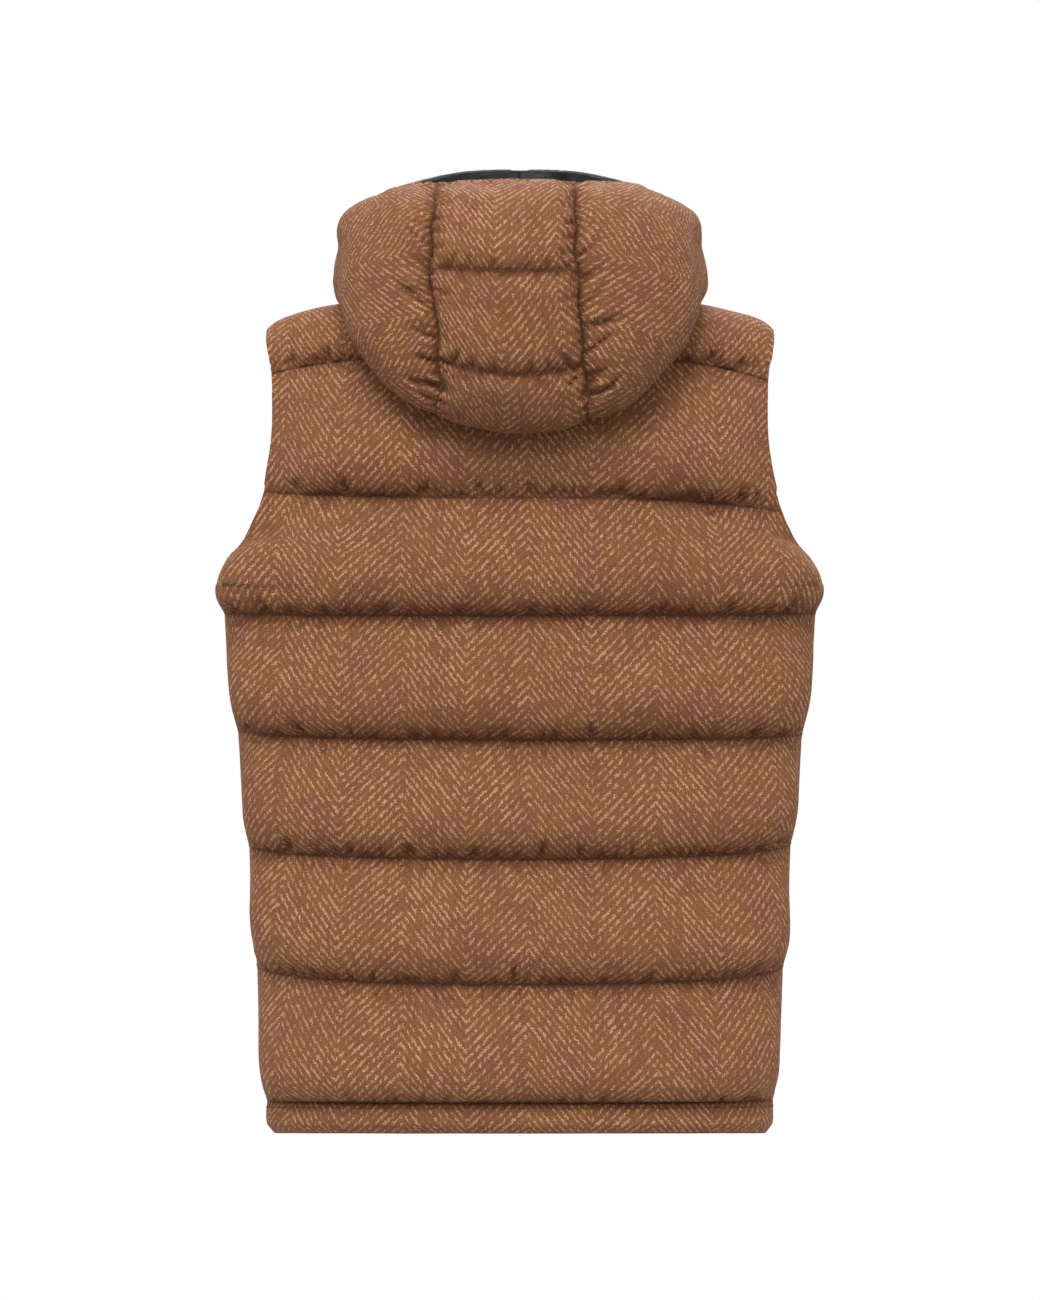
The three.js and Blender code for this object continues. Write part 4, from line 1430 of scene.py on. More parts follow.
@dataclass(frozen=True)
class QuiltedBody:
    """The back and the two fronts: channels of padding between the quilting seams."""

    shape: BodyShape
    wardrobe: Wardrobe
    layout: Layout = Layout()
    solver: SlackCloth = SlackCloth()
    rows_per_channel: int = 40
    crowding: float = 0.55
    columns: int = 120
    cut_wider: float = 1.04
    cut_longer: float = 1.01
    fold_depth: float = 2.4
    fold_width: float = 0.62
    deepest: float = 0.8
    above: Gathers = Gathers(11, 9.5, 2.1, 14, 6.2)
    below: Gathers = Gathers(23, 7.5, 1.9, 11, 3.8)
    uneven: tuple[Rumple, ...] = (Rumple(3, 62, 1.6), Rumple(5, 27, 0.9), Rumple(8, 11, 0.3))
    seam_shade: float = 50.0
    stitched_column: int = 3

    @property
    def channel(self) -> Array:
        """Heights of the rows in channels, which crowd a little towards the seams.

        Returns:
            A column of heights.
        """
        steps = np.arange(self.rows_per_channel) / self.rows_per_channel
        crowded = mix(steps, 0.5 - 0.5 * np.cos(np.pi * steps), self.crowding)
        channels = np.arange(int(self.shape.shoulder))[:, None] + crowded
        return np.append(channels.ravel(), self.shape.shoulder)[:, None]

    def _creases(self, face: Face, side: Side | None, along: Array) -> list[tuple[int, int, list[Crease]]]:
        """Lists the folds at every seam of a panel.

        Args:
            face: back or front.
            side: the front's side, or None for the back.
            along: level distance round the body over the panel.

        Returns:
            The seam, 1 for above it or -1 for below it, and the creases there.
        """
        start, end = float(along.min()), float(along.max())
        hand = side.value if side else -1
        seed = 40 + 20 * hand if side else 0
        placed = []
        for seam, table in (BACK_FOLDS if face is Face.BACK else FRONT_FOLDS).items():
            folds = [
                Crease(hand * at, width * self.fold_width, reach, depth * self.fold_depth, hand * lean)
                for at, width, reach, depth, lean in table
            ]
            folds += replace(self.above, seed=self.above.seed + seed + seam).creases(start, end)
            placed.append((seam, 1, folds))
            if seam:
                low = replace(self.below, seed=self.below.seed + seed + seam)
                placed.append((seam, -1, low.creases(start, end)))
        return placed

    def _pressed(self, face: Face, side: Side | None, along: Array, up: Array) -> Array:
        """Adds up the folds of a panel.

        Args:
            face: back or front.
            side: the front's side, or None for the back.
            along: level distance round the body.
            up: distance up the cloth.

        Returns:
            Their depth at each place.
        """
        depth = np.zeros_like(along)
        for seam, upward, creases in self._creases(face, side, along):
            row = seam * self.rows_per_channel
            near = slice(row, row + self.rows_per_channel // 2)
            if upward < 0:
                near = slice(row - self.rows_per_channel // 2, row)
            away = upward * (up[near] - up[row])
            for crease in creases:
                depth[near] += crease.press(along[near], away)
        return depth

    def _flat(self, inner: Array, along: Array, up: Array, side: Side | None) -> Array:
        """Lays a panel out on the flat cloth.

        Args:
            inner: the panel's inner face.
            along: level distance round the body.
            up: distance up the padded cloth.
            side: the front's side, or None for the back.

        Returns:
            Each point's place on the cloth.
        """
        seams = np.arange(0, len(up), self.rows_per_channel)
        yoke = int(self.shape.yoke) * self.rows_per_channel
        height = self.layout.height(inner[seams])
        height[-1] = height[-2] + up[-1] - up[yoke]
        level = np.concatenate([along[:yoke], along[yoke] + inner[yoke:, :, 0] - inner[yoke, :, 0]])
        low = np.minimum(np.arange(len(up)) // self.rows_per_channel, len(seams) - 2)
        part = (up - up[seams[low]]) / (up[seams[low + 1]] - up[seams[low]])
        return self.layout.places(level, mix(height[low], height[low + 1], part), side)

    def _blown_out(self, outer: Array, inner: Array, normal: Array, lift: Array, up: Array) -> Array:
        """Has the cloth solver blow a panel out between its seams.

        Args:
            outer: the panel's outer face.
            inner: its inner face.
            normal: the way out of the padding.
            lift: the padding's height above the wall at a seam.
            up: distance up the padded cloth.

        Returns:
            The outer face with the solver's folds.
        """
        tallest = np.maximum.reduceat(lift, np.arange(0, len(lift) - 1, self.rows_per_channel))
        full = np.concatenate([np.repeat(tallest, self.rows_per_channel, 0), tallest[-1:]])
        cut = (inner + normal * (self.shape.seam_wall + full)[..., None]) * self.cut_wider
        cut[..., 2] = up * self.cut_longer
        held = np.zeros(lift.shape, bool)
        held[:: self.rows_per_channel] = True
        held[:, [0, -1]] = True
        return self.solver.settle(outer, cut, held)

    def _panel(self, face: Face, across: Array, side: Side | None) -> tuple[Wall, list[SeamLine]]:
        """Makes a panel.

        Args:
            face: back or front.
            across: places across the panel, for each row and column.
            side: the front's side, or None for the back.

        Returns:
            The wall, and a line of stitches for each quilting seam.
        """
        shape = self.shape
        across, channel = np.broadcast_arrays(across, self.channel)
        inner = shape.inner(face, across, channel)
        normal = shape.outward(face, across, channel)
        if side:
            normal[:, 0, 0] = 0
            normal = unit(normal)
        lift = shape.lift(face, across, channel)
        shell = inner + normal * (shape.seam_wall + lift)[..., None]
        along, up = across_cloth(inner, side, shape.zip_opening), travelled(shell, 0)
        hand = side.value if side else 0
        uneven = sum(rumple.at(along + 900 + 280 * hand, up + 300) for rumple in self.uneven)
        pressed = np.minimum(self._pressed(face, side, along, up), self.deepest * lift)
        outer = shell + normal * (uneven * np.sqrt(lift / shape.loft) - pressed)[..., None]
        outer[..., 2] -= shape.loft_sag * lift
        outer = self._blown_out(outer, inner, normal, lift, up)

        place = np.where(channel >= shape.shoulder, 1, channel - np.floor(channel))
        # Painted shade for the cloth's colour: in hollows, under the bulges and beside the seams.
        painted_shade = shaded(outer, normal, np.exp(-np.minimum(place, 1 - place) * self.seam_shade))
        free = np.zeros(across.shape)
        free[channel[:, 0] > shape.underarm] = 1
        free[:, 1:-1] = 0
        if side:
            free[:, 0] = shape.zip_edge_free
        wall = Wall(outer, inner, self._flat(inner, along, up, side), painted_shade, free)
        seams = range(self.rows_per_channel, len(up) - 1, self.rows_per_channel)
        lines = [SeamLine(outer[row], normal[row]) for row in seams]
        if side:
            lines.append(SeamLine(outer[:, self.stitched_column], normal[:, self.stitched_column]))
        return wall, lines

    def build(self) -> list[SeamLine]:
        """Builds the back and both fronts.

        Returns:
            Their lines of stitches.
        """
        shape, places = self.shape, self.shape.even_places(self.columns)
        materials = [self.wardrobe.cloth, self.wardrobe.lining]
        wall, lines = self._panel(Face.BACK, np.concatenate([-places[:0:-1], places])[None, :], None)
        settle(wall.build("quilted_back", materials), ("back",))
        zip_edge = shape.zip_edge(self.channel)
        for side in Side:
            across = side.value * mix(zip_edge, 1, places[None, :])
            wall, more = self._panel(Face.FRONT, across, side)
            name = side.name.lower()
            piece = wall.build(f"quilted_front_{name}", materials)
            settle(piece, (f"front_{name}",))
            lines += more
        return lines


@dataclass(frozen=True)
class HemBand:
    """The narrow padded band below the hem seam, in three pieces like the body."""

    shape: BodyShape
    wardrobe: Wardrobe
    layout: Layout = Layout()
    loft: float = 6.0
    fullness: float = 0.7
    side_share: float = 0.35
    side_fade: float = 0.2
    rows: int = 24
    columns: int = 100
    top: float = -0.003
    deepest: float = 0.7
    gathers: Gathers = Gathers(71, 9.5, 2.8, 16, 0.8)
    ripple: Rumple = Rumple(17, 24, 0.7)
    seam_shade: float = 13.5
    stitched_row: int = -3

    def _piece(self, face: Face, across: Array, side: Side | None) -> tuple[Wall, SeamLine]:
        """Makes a piece.

        Args:
            face: back or front.
            across: places across the piece.
            side: the front's side, or None for the back.

        Returns:
            The wall, and the line of stitches along its top.
        """
        share = np.linspace(0, 1, self.rows + 1)[:, None]
        across, share = np.broadcast_arrays(across, share)
        channel = mix(-1, self.top, share)
        inner = self.shape.inner(face, across, channel)
        normal = self.shape.outward(face, across, channel) * [1, 1, 0]
        if side:
            normal[:, 0, 0] = 0
        normal = unit(normal)
        swell = self.loft * np.maximum(0, np.sin(np.pi * share)) ** self.fullness
        swell = swell * mix(self.side_share, 1, smooth((1 - np.abs(across)) / self.side_fade))
        outer = inner + normal * (self.shape.seam_wall + swell)[..., None]
        along, up = across_cloth(inner, side, self.shape.zip_opening), travelled(outer, 0)
        creases = self.gathers.creases(along.min(), along.max())
        folds = sum(crease.press(along, up[-1] - up) for crease in creases)
        ripple = self.ripple.at(along + 500, up) * np.sqrt(swell / self.loft)
        outer = outer + normal * (ripple - np.minimum(folds, self.deepest * swell))[..., None]
        free = np.zeros(across.shape)
        free[0] = 1
        if side:
            free[1:, 0] = self.shape.zip_edge_free
        cloth = self.layout.places(along, self.layout.height(inner[-1]) + up - up[-1], side)
        # Painted shade for the cloth's colour: in hollows, under the swell and beside the seam.
        painted_shade = shaded(outer, normal, np.exp(-(1 - share) * self.seam_shade))
        wall = Wall(outer, inner, cloth, painted_shade, free)
        return wall, SeamLine(outer[self.stitched_row], normal[self.stitched_row])

    def build(self) -> list[SeamLine]:
        """Builds the three pieces.

        Returns:
            Their lines of stitches.
        """
        places = self.shape.even_places(self.columns)
        materials = [self.wardrobe.cloth, self.wardrobe.lining]
        back = np.concatenate([-places[:0:-1], places])[None, :]
        pieces = [("back", Face.BACK, back, None)]
        zip_edge = self.shape.zip_edge(np.array([[-0.5]]))
        for side in Side:
            across = side.value * mix(zip_edge, 1, places[None, :])
            pieces.append((f"front_{side.name.lower()}", Face.FRONT, across, side))
        lines = []
        for name, face, across, side in pieces:
            wall, line = self._piece(face, across, side)
            piece = wall.build(f"padded_hem_{name}", materials)
            settle(piece, (f"hem_band_{name}",))
            lines.append(line)
        return lines


# The folds beside the hood's lengthwise seams: place up the seam, width, reach, depth and lean.
HOOD_SIDE_FOLDS = [
    (96, 4, 20, 2.4, 0.1), (118, 5, 26, 2.6, -0.15), (141, 4, 18, 2.2, 0.2), (163, 6, 30, 3.0, -0.1),
    (187, 4, 22, 2.6, 0.25), (204, 4, 34, 3.4, -0.3), (223, 5, 20, 2.3, 0.1), (247, 4, 28, 3.1, -0.2),
    (268, 5, 36, 3.6, 0.3), (283, 4, 24, 2.8, -0.35), (306, 5, 19, 2.2, 0.1), (327, 4, 23, 2.5, -0.1),
]
# The folds along the middle panel's cross seams, in the same order.
HOOD_MIDDLE_FOLDS = [
    (-49, 4, 18, 2.6, 0.5), (-33, 4, 13, 1.8, 0.1), (-12, 5, 11, 1.5, -0.2), (14, 4, 14, 1.9, 0.15),
    (31, 5, 12, 1.6, -0.1), (48, 4, 19, 2.8, -0.5),
]


@dataclass(frozen=True)
class Hood:
    """The hood's middle panel and its two side panels, which close in front as the collar."""

    shape: HoodShape
    wardrobe: Wardrobe
    rows: int = 200
    middle_columns: int = 64
    side_columns: int = 140
    fold_width: float = 0.7
    fold_depth: float = 1.7
    thinnest: float = 2.5
    deepest: float = 0.75
    cross_reach: float = 0.27
    cross_share: float = 0.25
    zip_reach: float = 12.0
    seam_shade: float = 1.7
    seam_width: float = 2.0
    crown_stop: float = 5.0
    tilt_left: float = 15.0
    tilt_right: float = 18.0
    stitched_columns: tuple[int, int] = (1, -2)
    beside: Gathers = Gathers(31, 8, 2.1, 14, 3.0)
    rim_gathers: Gathers = Gathers(47, 8.5, 2.4, 10, 1.0)
    uneven: tuple[Rumple, ...] = (Rumple(6, 48, 1.5), Rumple(9, 21, 1.0))

    @property
    def way(self) -> Array:
        """Stops of the rows, from the neck to the rim."""
        return np.linspace(0, self.shape.rim, self.rows + 1)[:, None]

    def _row(self, stop: float) -> int:
        """The row at a stop."""
        return round(stop / self.shape.rim * self.rows)

    def _sewn_deep(self) -> Array:
        """How deep the lengthwise seams lie at each height: shallow below the lower cross seam."""
        return mix(0.3, 1, smooth((self.way - 3.2) / 0.7))

    def _seam_shade(self, from_seam: Array) -> Array:
        """The painted shade beside a seam, at a distance from it."""
        return self.seam_shade * np.exp(-from_seam / self.seam_width)

    def _wall(
        self, turn: Array, from_seam: Array, from_zip: Array | None, crossed: bool
    ) -> tuple[Array, Array, Array]:
        """Makes a panel's faces.

        Args:
            turn: the turn at each point.
            from_seam: distance from the lengthwise seam.
            from_zip: distance from the zip, or None where the panel doesn't reach it.
            crossed: true if the cross seams run over the panel.

        Returns:
            Inner face, the way out of the padding, and the padding's thickness.
        """
        shape, way = self.shape, self.way
        inner, normal = shape.inner(turn, way), shape.outward(turn, way)
        if from_zip is not None:
            normal[:, -1, 0] = 0
            normal = unit(normal)
        full = shape.way.at("wall", way)
        groove = np.sin(np.pi / 2 * np.clip(from_seam / shape.pinch, 0, 1)) ** 0.75
        rise = mix(1, 0.03 + 0.97 * groove, self._sewn_deep())
        if crossed:
            for seam in shape.cross_seams:
                rise = rise * mix(self.cross_share, 1, rounded(np.abs(way - seam) / self.cross_reach))
        if from_zip is not None:
            rise = rise * mix(0.5, 1, rounded(from_zip / self.zip_reach))
        return inner, normal, mix(np.minimum(shape.body.seam_wall, full), full, rise)

    def _middle(self) -> tuple[Wall, list[SeamLine]]:
        """Makes the middle panel.

        Returns:
            Its wall, and its lines of stitches.
        """
        across = np.linspace(-1, 1, self.middle_columns + 1)[None, :]
        turn, from_seam = self.shape.middle_panel(self.way, across)
        inner, normal, thick = self._wall(turn, from_seam, None, True)
        outer = inner + normal * thick[..., None]
        shell = inner + normal * self.shape.way.at("wall", self.way)[..., None]
        along, up = travelled(shell, 1), travelled(shell, 0)
        along = along[:, [along.shape[1] // 2]] - along
        depth = np.zeros_like(along)
        crossing = [self._row(seam) for seam in self.shape.cross_seams]
        for number, row in enumerate(crossing):
            above, below = np.maximum(up - up[row], 0), np.maximum(up[row] - up, 0)
            for at, width, reach, deep, lean in HOOD_MIDDLE_FOLDS:
                width, deep = width * self.fold_width, deep * self.fold_depth
                crease = Crease(at + 4 * number, width, reach, deep, lean)
                depth += crease.press(along, above) + 0.7 * crease.press(along - 7, below)
        for crease in self.beside.creases(0, float(up.max())):
            depth += crease.press(up, from_seam)
        for crease in self.rim_gathers.creases(-55, 55):
            depth += crease.press(along, up[-1] - up)
        spare = np.maximum(thick - self.thinnest, 0)
        uneven = sum(rumple.at(along + 400, up) for rumple in self.uneven) * smooth(spare / 6)
        outer = outer + normal * (uneven - np.minimum(depth, self.deepest * spare))[..., None]
        # Painted shade for the cloth's colour: beside the lengthwise and cross seams, in hollows and under
        # folds.
        painted_shade = self._seam_shade(from_seam) * self._sewn_deep()
        for seam in self.shape.cross_seams:
            painted_shade = np.maximum(painted_shade, self._seam_shade(np.abs(self.way - seam) * 44))
        free = np.zeros(along.shape)
        free[-1] = 1
        cloth = np.stack([along - 42, up], -1)
        wall = Wall(outer, inner, cloth, shaded(outer, normal, painted_shade), free, lined_from=1)
        lines = [SeamLine(outer[row], normal[row]) for row in crossing]
        lines += [SeamLine(outer[:, column], normal[:, column]) for column in self.stitched_columns]
        return wall, lines

    def _flat(self, side: Side, turn: Array, inner: Array, along: Array, up: Array) -> Array:
        """Lays a side panel out on the flat cloth, which is cut at a slant.

        Args:
            side: the panel's side.
            turn: the turn at each point.
            inner: its inner face.
            along: distance from the lengthwise seam.
            up: distance up the cloth.

        Returns:
            Each point's place on the cloth.
        """
        row = self._row(self.crown_stop)
        forward = smooth((np.abs(turn) - 60) / 45)
        rise = mix(up - up[row], inner[..., 2] - inner[row, :, 2], forward)
        level = mix(along, np.broadcast_to(along[row], along.shape), forward)
        tilt = math.radians(self.tilt_right if side is Side.RIGHT else self.tilt_left)
        x = level * math.sin(tilt) + rise * math.cos(tilt) - 14
        return np.stack([x, level * math.cos(tilt) - rise * math.sin(tilt)], -1)

    def _side(self, side: Side) -> Wall:
        """Makes a side panel.

        Args:
            side: its side.

        Returns:
            Its wall.
        """
        share = np.linspace(0, 1, self.side_columns + 1)[None, :]
        share = mix(share, share**2, 0.25)
        turn, from_seam = self.shape.side_panel(self.way, share, side)
        from_zip = from_seam[:, [-1]] - from_seam
        inner, normal, thick = self._wall(turn, from_seam, from_zip, False)
        outer = inner + normal * thick[..., None]
        shell = inner + normal * self.shape.way.at("wall", self.way)[..., None]
        along, up = travelled(shell, 1), travelled(shell, 0)
        depth = np.zeros_like(along)
        shift = 6 if side is Side.LEFT else 0
        for at, width, reach, deep, lean in HOOD_SIDE_FOLDS:
            width, deep = width * self.fold_width, deep * self.fold_depth
            depth += Crease(at + shift, width, reach, deep, lean * side.value).press(up, along)
        for crease in replace(self.beside, seed=33 + side.value).creases(0, float(up.max())):
            depth += crease.press(up, along)
        for crease in self.rim_gathers.creases(0, float(along.max())):
            depth += crease.press(along, up[-1] - up)
        spare = np.maximum(thick - self.thinnest, 0)
        uneven = sum(rumple.at(along + 700 + 90 * side.value, up) for rumple in self.uneven)
        uneven = uneven * smooth(spare / 6) * smooth((self.way - 2.2) / 0.8)
        outer = outer + normal * (uneven - np.minimum(depth, self.deepest * spare))[..., None]
        free = np.zeros(along.shape)
        free[-1] = 1
        free[:, -1] = self.shape.body.zip_edge_free
        # Painted shade for the cloth's colour: beside the lengthwise seam, in hollows and under folds.
        painted_shade = shaded(outer, normal, self._seam_shade(from_seam) * self._sewn_deep())
        return Wall(outer, inner, self._flat(side, turn, inner, along, up), painted_shade, free, lined_from=1)

    def build(self) -> list[SeamLine]:
        """Builds the three panels.

        Returns:
            Their lines of stitches.
        """
        materials = [self.wardrobe.cloth, self.wardrobe.lining]
        wall, lines = self._middle()
        middle = wall.build("padded_hood_middle", materials)
        settle(middle, ("hood_middle",))
        for side in Side:
            name = side.name.lower()
            piece = self._side(side).build(f"padded_hood_{name}", materials)
            settle(piece, (f"hood_{name}",))
        return lines


@dataclass(frozen=True)
class HoodLining:
    """The black lining inside the hood and the collar."""

    shape: HoodShape
    wardrobe: Wardrobe
    rows: int = 120
    columns: int = 200
    behind: float = 0.4
    thickness: float = 1.1
    fullness: float = 1.1
    sewn_below: float = 30.0
    sewn_above: float = 12.0
    slack: tuple[Rumple, ...] = (Rumple(13, 34, 0.9), Rumple(19, 15, 0.5))

    def build(self) -> None:
        """Builds the lining."""
        way = np.linspace(0, self.shape.rim, self.rows + 1)[:, None]
        turn, _ = np.broadcast_arrays(np.linspace(-180, 180, self.columns + 1)[None, :], way)
        face, normal = self.shape.inner(turn, way), self.shape.outward(turn, way)
        normal[:, [0, -1], 0] = 0
        normal = unit(normal)
        hidden = face - normal * self.behind
        along, up = travelled(hidden, 1), travelled(hidden, 0)
        slack = sum(rumple.at(along, up + 200) for rumple in self.slack) + self.fullness
        slack = slack * smooth(up / self.sewn_below) * smooth((up[-1] - up) / self.sewn_above)
        seen = hidden - normal * (self.thickness + slack)[..., None]
        free = np.zeros(turn.shape)
        free[-1] = 1
        wall = Wall(seen, hidden, np.stack([along, up], -1), np.zeros(turn.shape), free)
        lining = wall.build("hood_lining_cloth", [self.wardrobe.lining, self.wardrobe.lining])
        settle(lining, ("hood_lining",))


@dataclass(frozen=True)
class Zip:
    """The closed front zip: its two tapes, and two rows of meshing teeth."""

    body: BodyShape
    hood: HoodShape
    wardrobe: Wardrobe
    pitch: float = 1.28
    bottom_channel: float = -0.96
    collar_start: float = 0.25
    slider_z: float = 108.5
    stop_tooth: int = 3
    first_tooth: int = 7
    stop_levels: tuple[tuple[float, float], ...] = ((0.66, 0.97), (3.1, 1.0), (3.45, 0.88))
    stop_outline: tuple[tuple[float, float], ...] = (
        (3.3, -3.0), (3.3, 3.4), (2.9, 3.9), (0.4, 3.9), (0.0, 3.5), (-0.4, 3.9),
        (-2.9, 3.9), (-3.3, 3.4), (-3.3, -3.0), (-2.8, -3.6), (2.8, -3.6),
    )
    tape_section: tuple[tuple[float, float, float], ...] = (
        (0.15, 0.62, 0.2), (1.0, 0.62, 0.2), (2.0, 0.62, 0.2), (2.8, 0.62, 0.2), (3.1, 1.7, 0.3),
        (3.6, 2.7, 0.5), (4.4, 2.5, 0.7), (5.4, 2.6, 0.9), (6.3, 2.6, 1.1),
    )
    tooth_levels: tuple[tuple[float, float], ...] = ((0.7, 0.94), (2.8, 1.0), (3.3, 0.8))
    tooth_outline: tuple[tuple[float, float], ...] = (
        (2.9, -0.48), (1.0, -0.48), (0.45, -0.3), (-0.5, -0.54), (-0.95, -0.3),
        (-0.95, 0.3), (-0.5, 0.54), (0.45, 0.3), (1.0, 0.48), (2.9, 0.48),
    )

    def line(self) -> Array:
        """The middle of the front from hem to rim.

        Returns:
            A point for each tooth, their number fit for the tape's coarser back.
        """
        channel = np.linspace(self.bottom_channel, self.body.shoulder, 400)
        way = np.linspace(self.collar_start, self.hood.rim, 120)
        low = self.body.inner(Face.FRONT, np.zeros_like(channel), channel)
        high = self.hood.inner(np.full_like(way, 180.0), way)
        line = np.concatenate([low, high]) * [0, 1, 1]
        distance = travelled(line, 0)
        even = np.linspace(0, distance[-1], round(distance[-1] / self.pitch / 4) * 4 + 1)
        return np.stack([np.interp(even, distance, part) for part in line.T], -1)

    def _teeth(self, line: Array, along: Array, out: Array) -> None:
        """Builds the bottom stop and both rows of teeth.

        Args:
            line: a point in the middle of the front for each tooth.
            along: the way up the zip at each.
            out: the way out of the garment at each.
        """
        points, faces, count = [], [], 0
        under_slider = int((line[:, 2] < self.slider_z).sum())
        for number in (self.stop_tooth, *range(self.first_tooth, under_slider)):
            shape, levels = np.array(self.tooth_outline) * [1 if number % 2 else -1, 1], self.tooth_levels
            if number == self.stop_tooth:
                shape, levels = np.array(self.stop_outline), self.stop_levels
            for height, scale in levels:
                sideways, upward = (shape * [mix(1, scale, 0.3), scale]).T[..., None]
                centre = line[number] + height * out[number]
                points.append(centre + sideways * [1.0, 0, 0] + upward * along[number])
            faces += tube_faces(count, len(shape), len(levels))
            count += len(shape) * len(levels)
        points = np.concatenate(points)
        teeth = make_mesh("zip_teeth_rows", points, faces, points[:, [0, 2]], [self.wardrobe.teeth])
        make_normals_point_out(teeth)
        settle(teeth, ("zip_chain",))

    def _tape(self, side: Side, line: Array, out: Array) -> None:
        """Builds one tape, with the bead that carries the teeth.

        Args:
            side: the tape's side.
            line: a point in the middle of the front for each tooth.
            out: the way out of the garment at each.
        """
        section = np.array(self.tape_section)[None]
        x = side.value * section[..., :1] * [1.0, 0.0, 0.0]
        front = line[:, None] + out[:, None] * section[..., 1:2] + x
        back = line[:, None] + out[:, None] * section[..., 2:] + x
        cloth = np.stack([travelled(front, 1), travelled(front, 0)], -1)
        flat = np.zeros(front.shape[:2])
        wall = Wall(front, back, cloth, flat, flat + 0.5, lined_from=3)
        name = side.name.lower()
        tape = wall.build(f"zip_tape_weave_{name}", [self.wardrobe.tape, self.wardrobe.tape])
        settle(tape, (f"zip_tape_{name}",))

    def build(self) -> None:
        """Builds the tapes and the teeth."""
        line = self.line()
        along = unit(np.gradient(line, axis=0))
        out = np.stack([np.zeros(len(line)), -along[:, 2], along[:, 1]], -1)
        self._teeth(line, along, out)
        for side in Side:
            self._tape(side, line, out)


def make_normals_point_out(obj: bpy.types.Object) -> None:
    """Turns a closed mesh's faces to point out of it.

    Args:
        obj: the mesh object.
    """
    work = bmesh.new()
    work.from_mesh(obj.data)
    bmesh.ops.recalc_face_normals(work, faces=work.faces)
    work.to_mesh(obj.data)
    work.free()


@dataclass(frozen=True)
class SliderAndPull:
    """The slider and its pull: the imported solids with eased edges, and ridges on the pull's grip."""

    wardrobe: Wardrobe
    weld: float = 0.00001
    bevel: float = 0.00028
    bevel_from: float = 35.0
    ridge_tops: tuple[float, ...] = (-0.0205, -0.0232, -0.0259, -0.0286, -0.0313)
    ridge_size: tuple[float, float, float] = (0.0027, 0.00045, 0.0005)
    ridge_sunk: float = 0.12

    def _dress(self, node: str) -> None:
        """Gives a solid its metal and eases its edges.

        Args:
            node: the solid.
        """
        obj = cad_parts[node]
        obj.data.materials.clear()
        obj.data.materials.append(self.wardrobe.metal)
        weld = obj.modifiers.new("weld", "WELD")
        weld.merge_threshold = self.weld
        bevel = obj.modifiers.new("bevel", "BEVEL")
        bevel.width = self.bevel
        bevel.segments = 3
        bevel.limit_method = "ANGLE"
        bevel.angle_limit = math.radians(self.bevel_from)
        log.info("dressed %s", node)

    def _ridges(self) -> None:
        """Builds the raised ridges across the pull's grip."""
        low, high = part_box("zip_pull")
        middle_y = (low.y + high.y) / 2
        work = bmesh.new()
        for drop in self.ridge_tops:
            for face in (low.y, high.y):
                ridge = bmesh.ops.create_uvsphere(work, u_segments=12, v_segments=8, radius=1)
                place = Vector((0, mix(face, middle_y, self.ridge_sunk), high.z + drop))
                bmesh.ops.scale(work, vec=Vector(self.ridge_size), verts=ridge["verts"])
                bmesh.ops.translate(work, vec=place, verts=ridge["verts"])
        mesh = bpy.data.meshes.new("pull_ridges")
        work.to_mesh(mesh)
        work.free()
        mesh.materials.append(self.wardrobe.metal)
        mesh.polygons.foreach_set("use_smooth", np.ones(len(mesh.polygons), bool))
        ridges = bpy.data.objects.new("pull_ridges", mesh)
        bpy.context.scene.collection.objects.link(ridges)
        settle(ridges, body="pull")

    def build(self) -> None:
        """Dresses both solids and adds the ridges."""
        self._dress("zip_slider")
        self._dress("zip_pull")
        self._ridges()


@dataclass(frozen=True)
class Stitching:
    """Rows of single stitches along the quilting seams."""

    wardrobe: Wardrobe
    pitch: float = 3.6
    length: float = 2.7
    radius: float = 0.42
    bow: float = 0.35
    sides: int = 5
    profile: tuple[tuple[float, float], ...] = (
        (-0.5, 0.12), (-0.36, 0.85), (0.0, 1.0), (0.36, 0.85), (0.5, 0.12),
    )

    def _stitch(self, line: SeamLine, distance: Array, at: float) -> tuple[Array, Array]:
        """Shapes one stitch.

        Args:
            line: the line that it lies on.
            distance: how far along the line each of its points is.
            at: how far along the line the stitch is.

        Returns:
            The stitch's points, and their places on the thread.
        """
        angles = np.arange(self.sides) * 2 * np.pi / self.sides
        index = min(int(np.searchsorted(distance, at)), len(distance) - 2)
        before, after = line.points[index - 1], line.points[index]
        share = (at - distance[index - 1]) / (distance[index] - distance[index - 1])
        centre, along, out = mix(before, after, share), unit(after - before), unit(line.out[index])
        ring = np.cos(angles)[:, None] * np.cross(out, along) + np.sin(angles)[:, None] * out
        points, thread = [], []
        for place, width in self.profile:
            rise = self.bow * self.radius * (1 - (2 * place) ** 2)
            points.append(centre + along * place * self.length + out * rise + ring * width * self.radius)
            thread.append(np.stack([np.cos(angles), np.full(self.sides, place * self.length + at)], -1))
        return np.concatenate(points), np.concatenate(thread)

    def build(self, lines: list[SeamLine]) -> None:
        """Builds every stitch as one piece.

        Args:
            lines: the lines that the stitches follow.
        """
        made, faces = [], []
        for line in lines:
            distance = travelled(line.points, 0)
            for at in np.arange(self.pitch, distance[-1] - self.pitch, self.pitch):
                base = len(made) * self.sides * len(self.profile)
                faces += tube_faces(base, self.sides, len(self.profile))
                made.append(self._stitch(line, distance, at))
        points, thread = (np.concatenate(part) for part in zip(*made))
        stitches = make_mesh("seam_stitches", points, faces, thread, [self.wardrobe.thread])
        settle(stitches)
        log.info("sewed %d stitches", len(made))


@dataclass(frozen=True)
class Lamp:
    """A soft round area lamp that faces the garment."""

    name: str
    place: tuple[float, float, float]
    share: float
    size: float = 2.0


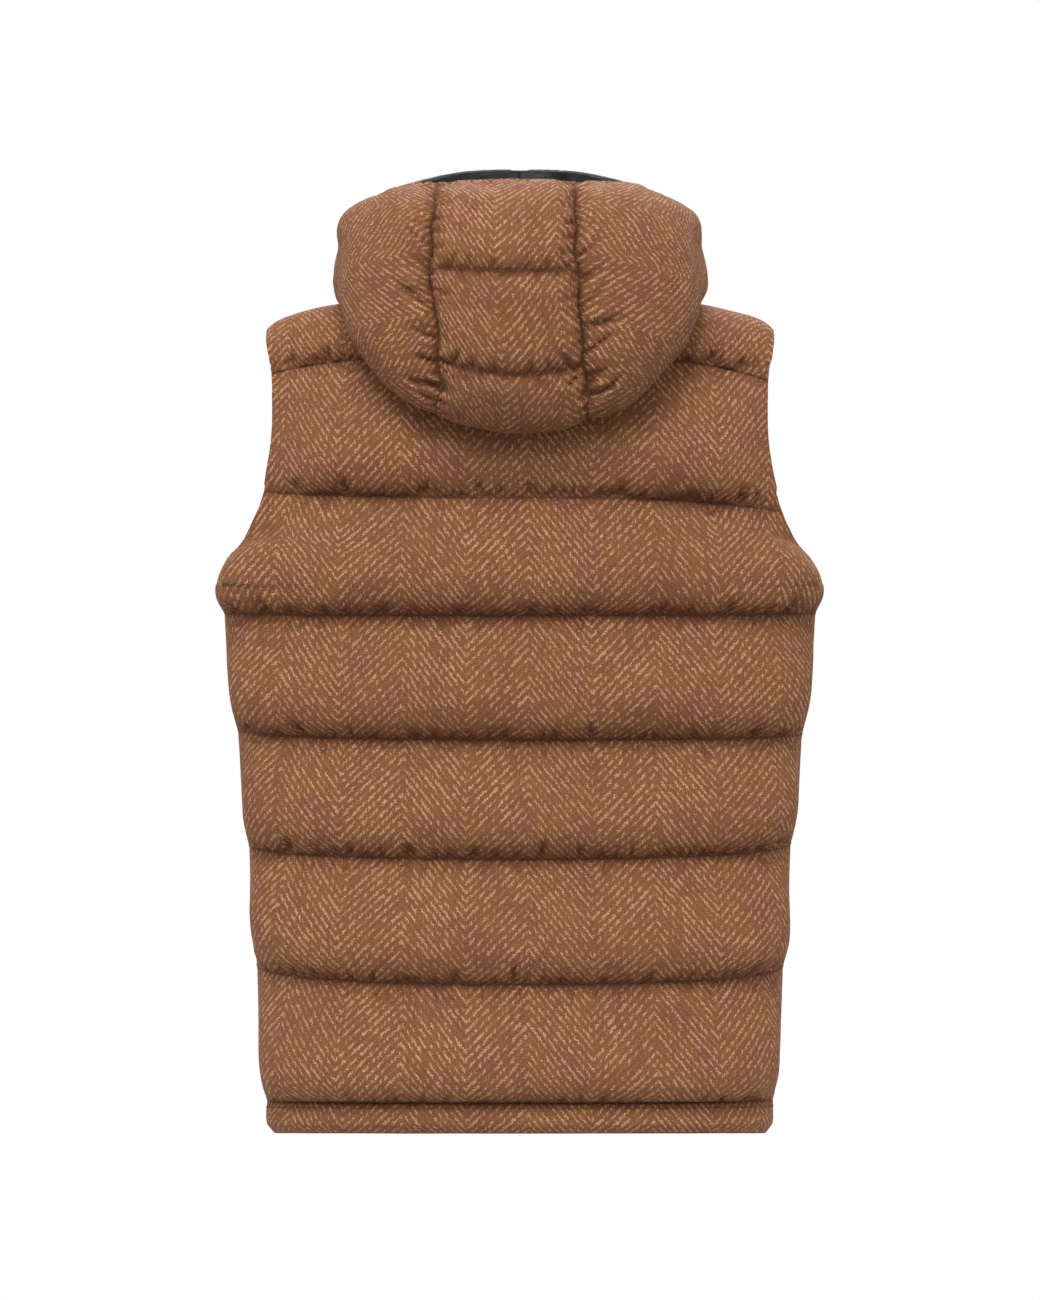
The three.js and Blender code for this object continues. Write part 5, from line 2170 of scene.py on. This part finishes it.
@dataclass(frozen=True)
class Studio:
    """The camera, a pale floor below the view and soft even light."""

    distance: float = 4.0
    height: float = -0.285
    lens: float = 133.2
    floor_z: float = -1.2
    floor_radius: float = 1.2
    floor_sides: int = 96
    ambient_low: float = 0.17
    ambient_high: float = 0.8
    horizon: tuple[float, float] = (-0.7, 0.8)
    key: float = 92.0
    lamps: tuple[Lamp, ...] = (
        Lamp("key_behind", (0.4, 2.8, 2.2), 1.0),
        Lamp("key_before", (-0.4, -2.8, 2.2), 0.85),
        Lamp("fill_left", (3.2, 0.4, 0.6), 0.2),
        Lamp("fill_right", (-3.2, 0.4, 0.6), 0.2),
    )

    def _camera(self) -> None:
        """Places the camera behind the garment."""
        data = bpy.data.cameras.new("camera")
        data.lens = self.lens
        data.sensor_width = 36
        camera = bpy.data.objects.new("camera", data)
        camera.location = (0, self.distance, self.height)
        camera.rotation_euler = (math.pi / 2, 0, math.pi)
        bpy.context.scene.collection.objects.link(camera)
        bpy.context.scene.camera = camera

    def _light(self, lamp: Lamp) -> None:
        """Sets up a lamp.

        Args:
            lamp: which one.
        """
        data = bpy.data.lights.new(lamp.name, "AREA")
        data.shape = "DISK"
        data.size = lamp.size
        data.energy = self.key * lamp.share
        obj = bpy.data.objects.new(lamp.name, data)
        obj.location = lamp.place
        aim = Vector((0, 0, self.height)) - Vector(lamp.place)
        obj.rotation_euler = aim.to_track_quat("-Z", "Y").to_euler()
        bpy.context.scene.collection.objects.link(obj)

    def _world(self) -> None:
        """White surroundings that light the garment less than they show."""
        world = bpy.data.worlds.new("studio")
        world.use_nodes = True
        s = Shader(world.node_tree)
        seen = s.add("ShaderNodeLightPath", {}, {}, "Is Camera Ray")
        direction = s.add("ShaderNodeTexCoord", {}, {}, "Generated")
        rising = s.add("ShaderNodeSeparateXYZ", {}, {0: direction}, "Z").ramp(*self.horizon)
        lit = self.ambient_low + rising * (self.ambient_high - self.ambient_low)
        strength = lit + seen * (1 - lit)
        white = (1.0, 1.0, 1.0, 1.0)
        background = s.add("ShaderNodeBackground", {}, {"Color": white, "Strength": strength})
        s.add("ShaderNodeOutputWorld", {}, {"Surface": background})
        bpy.context.scene.world = world

    def _floor(self) -> None:
        """Adds the round floor."""
        turns = np.linspace(0, 2 * np.pi, self.floor_sides + 1)[:-1]
        rim = np.stack([np.cos(turns), np.sin(turns), 0 * turns], -1) * self.floor_radius
        points = (rim + [0, 0, self.floor_z]) / MM
        finish = PaleFloor("floor_finish").material()
        floor = make_mesh("floor", points, [list(range(self.floor_sides))], points[:, :2], [finish])

    def build(self) -> None:
        """Sets up the studio."""
        self._camera()
        self._world()
        self._floor()
        for lamp in self.lamps:
            self._light(lamp)
        scene = bpy.context.scene
        scene.view_settings.view_transform = "Standard"
        scene.view_settings.look = "None"


def main() -> None:
    """Builds the garment and the studio in order."""
    logging.basicConfig(level=logging.INFO, format="%(message)s")
    Studio().build()
    wardrobe = Wardrobe()
    body = BodyShape()
    hood = HoodShape(body)
    lines = QuiltedBody(body, wardrobe).build()
    lines += HemBand(body, wardrobe).build()
    lines += Hood(hood, wardrobe).build()
    HoodLining(hood, wardrobe).build()
    Zip(body, hood, wardrobe).build()
    SliderAndPull(wardrobe).build()
    Stitching(wardrobe).build(lines)


if __name__ == "__main__":
    main()
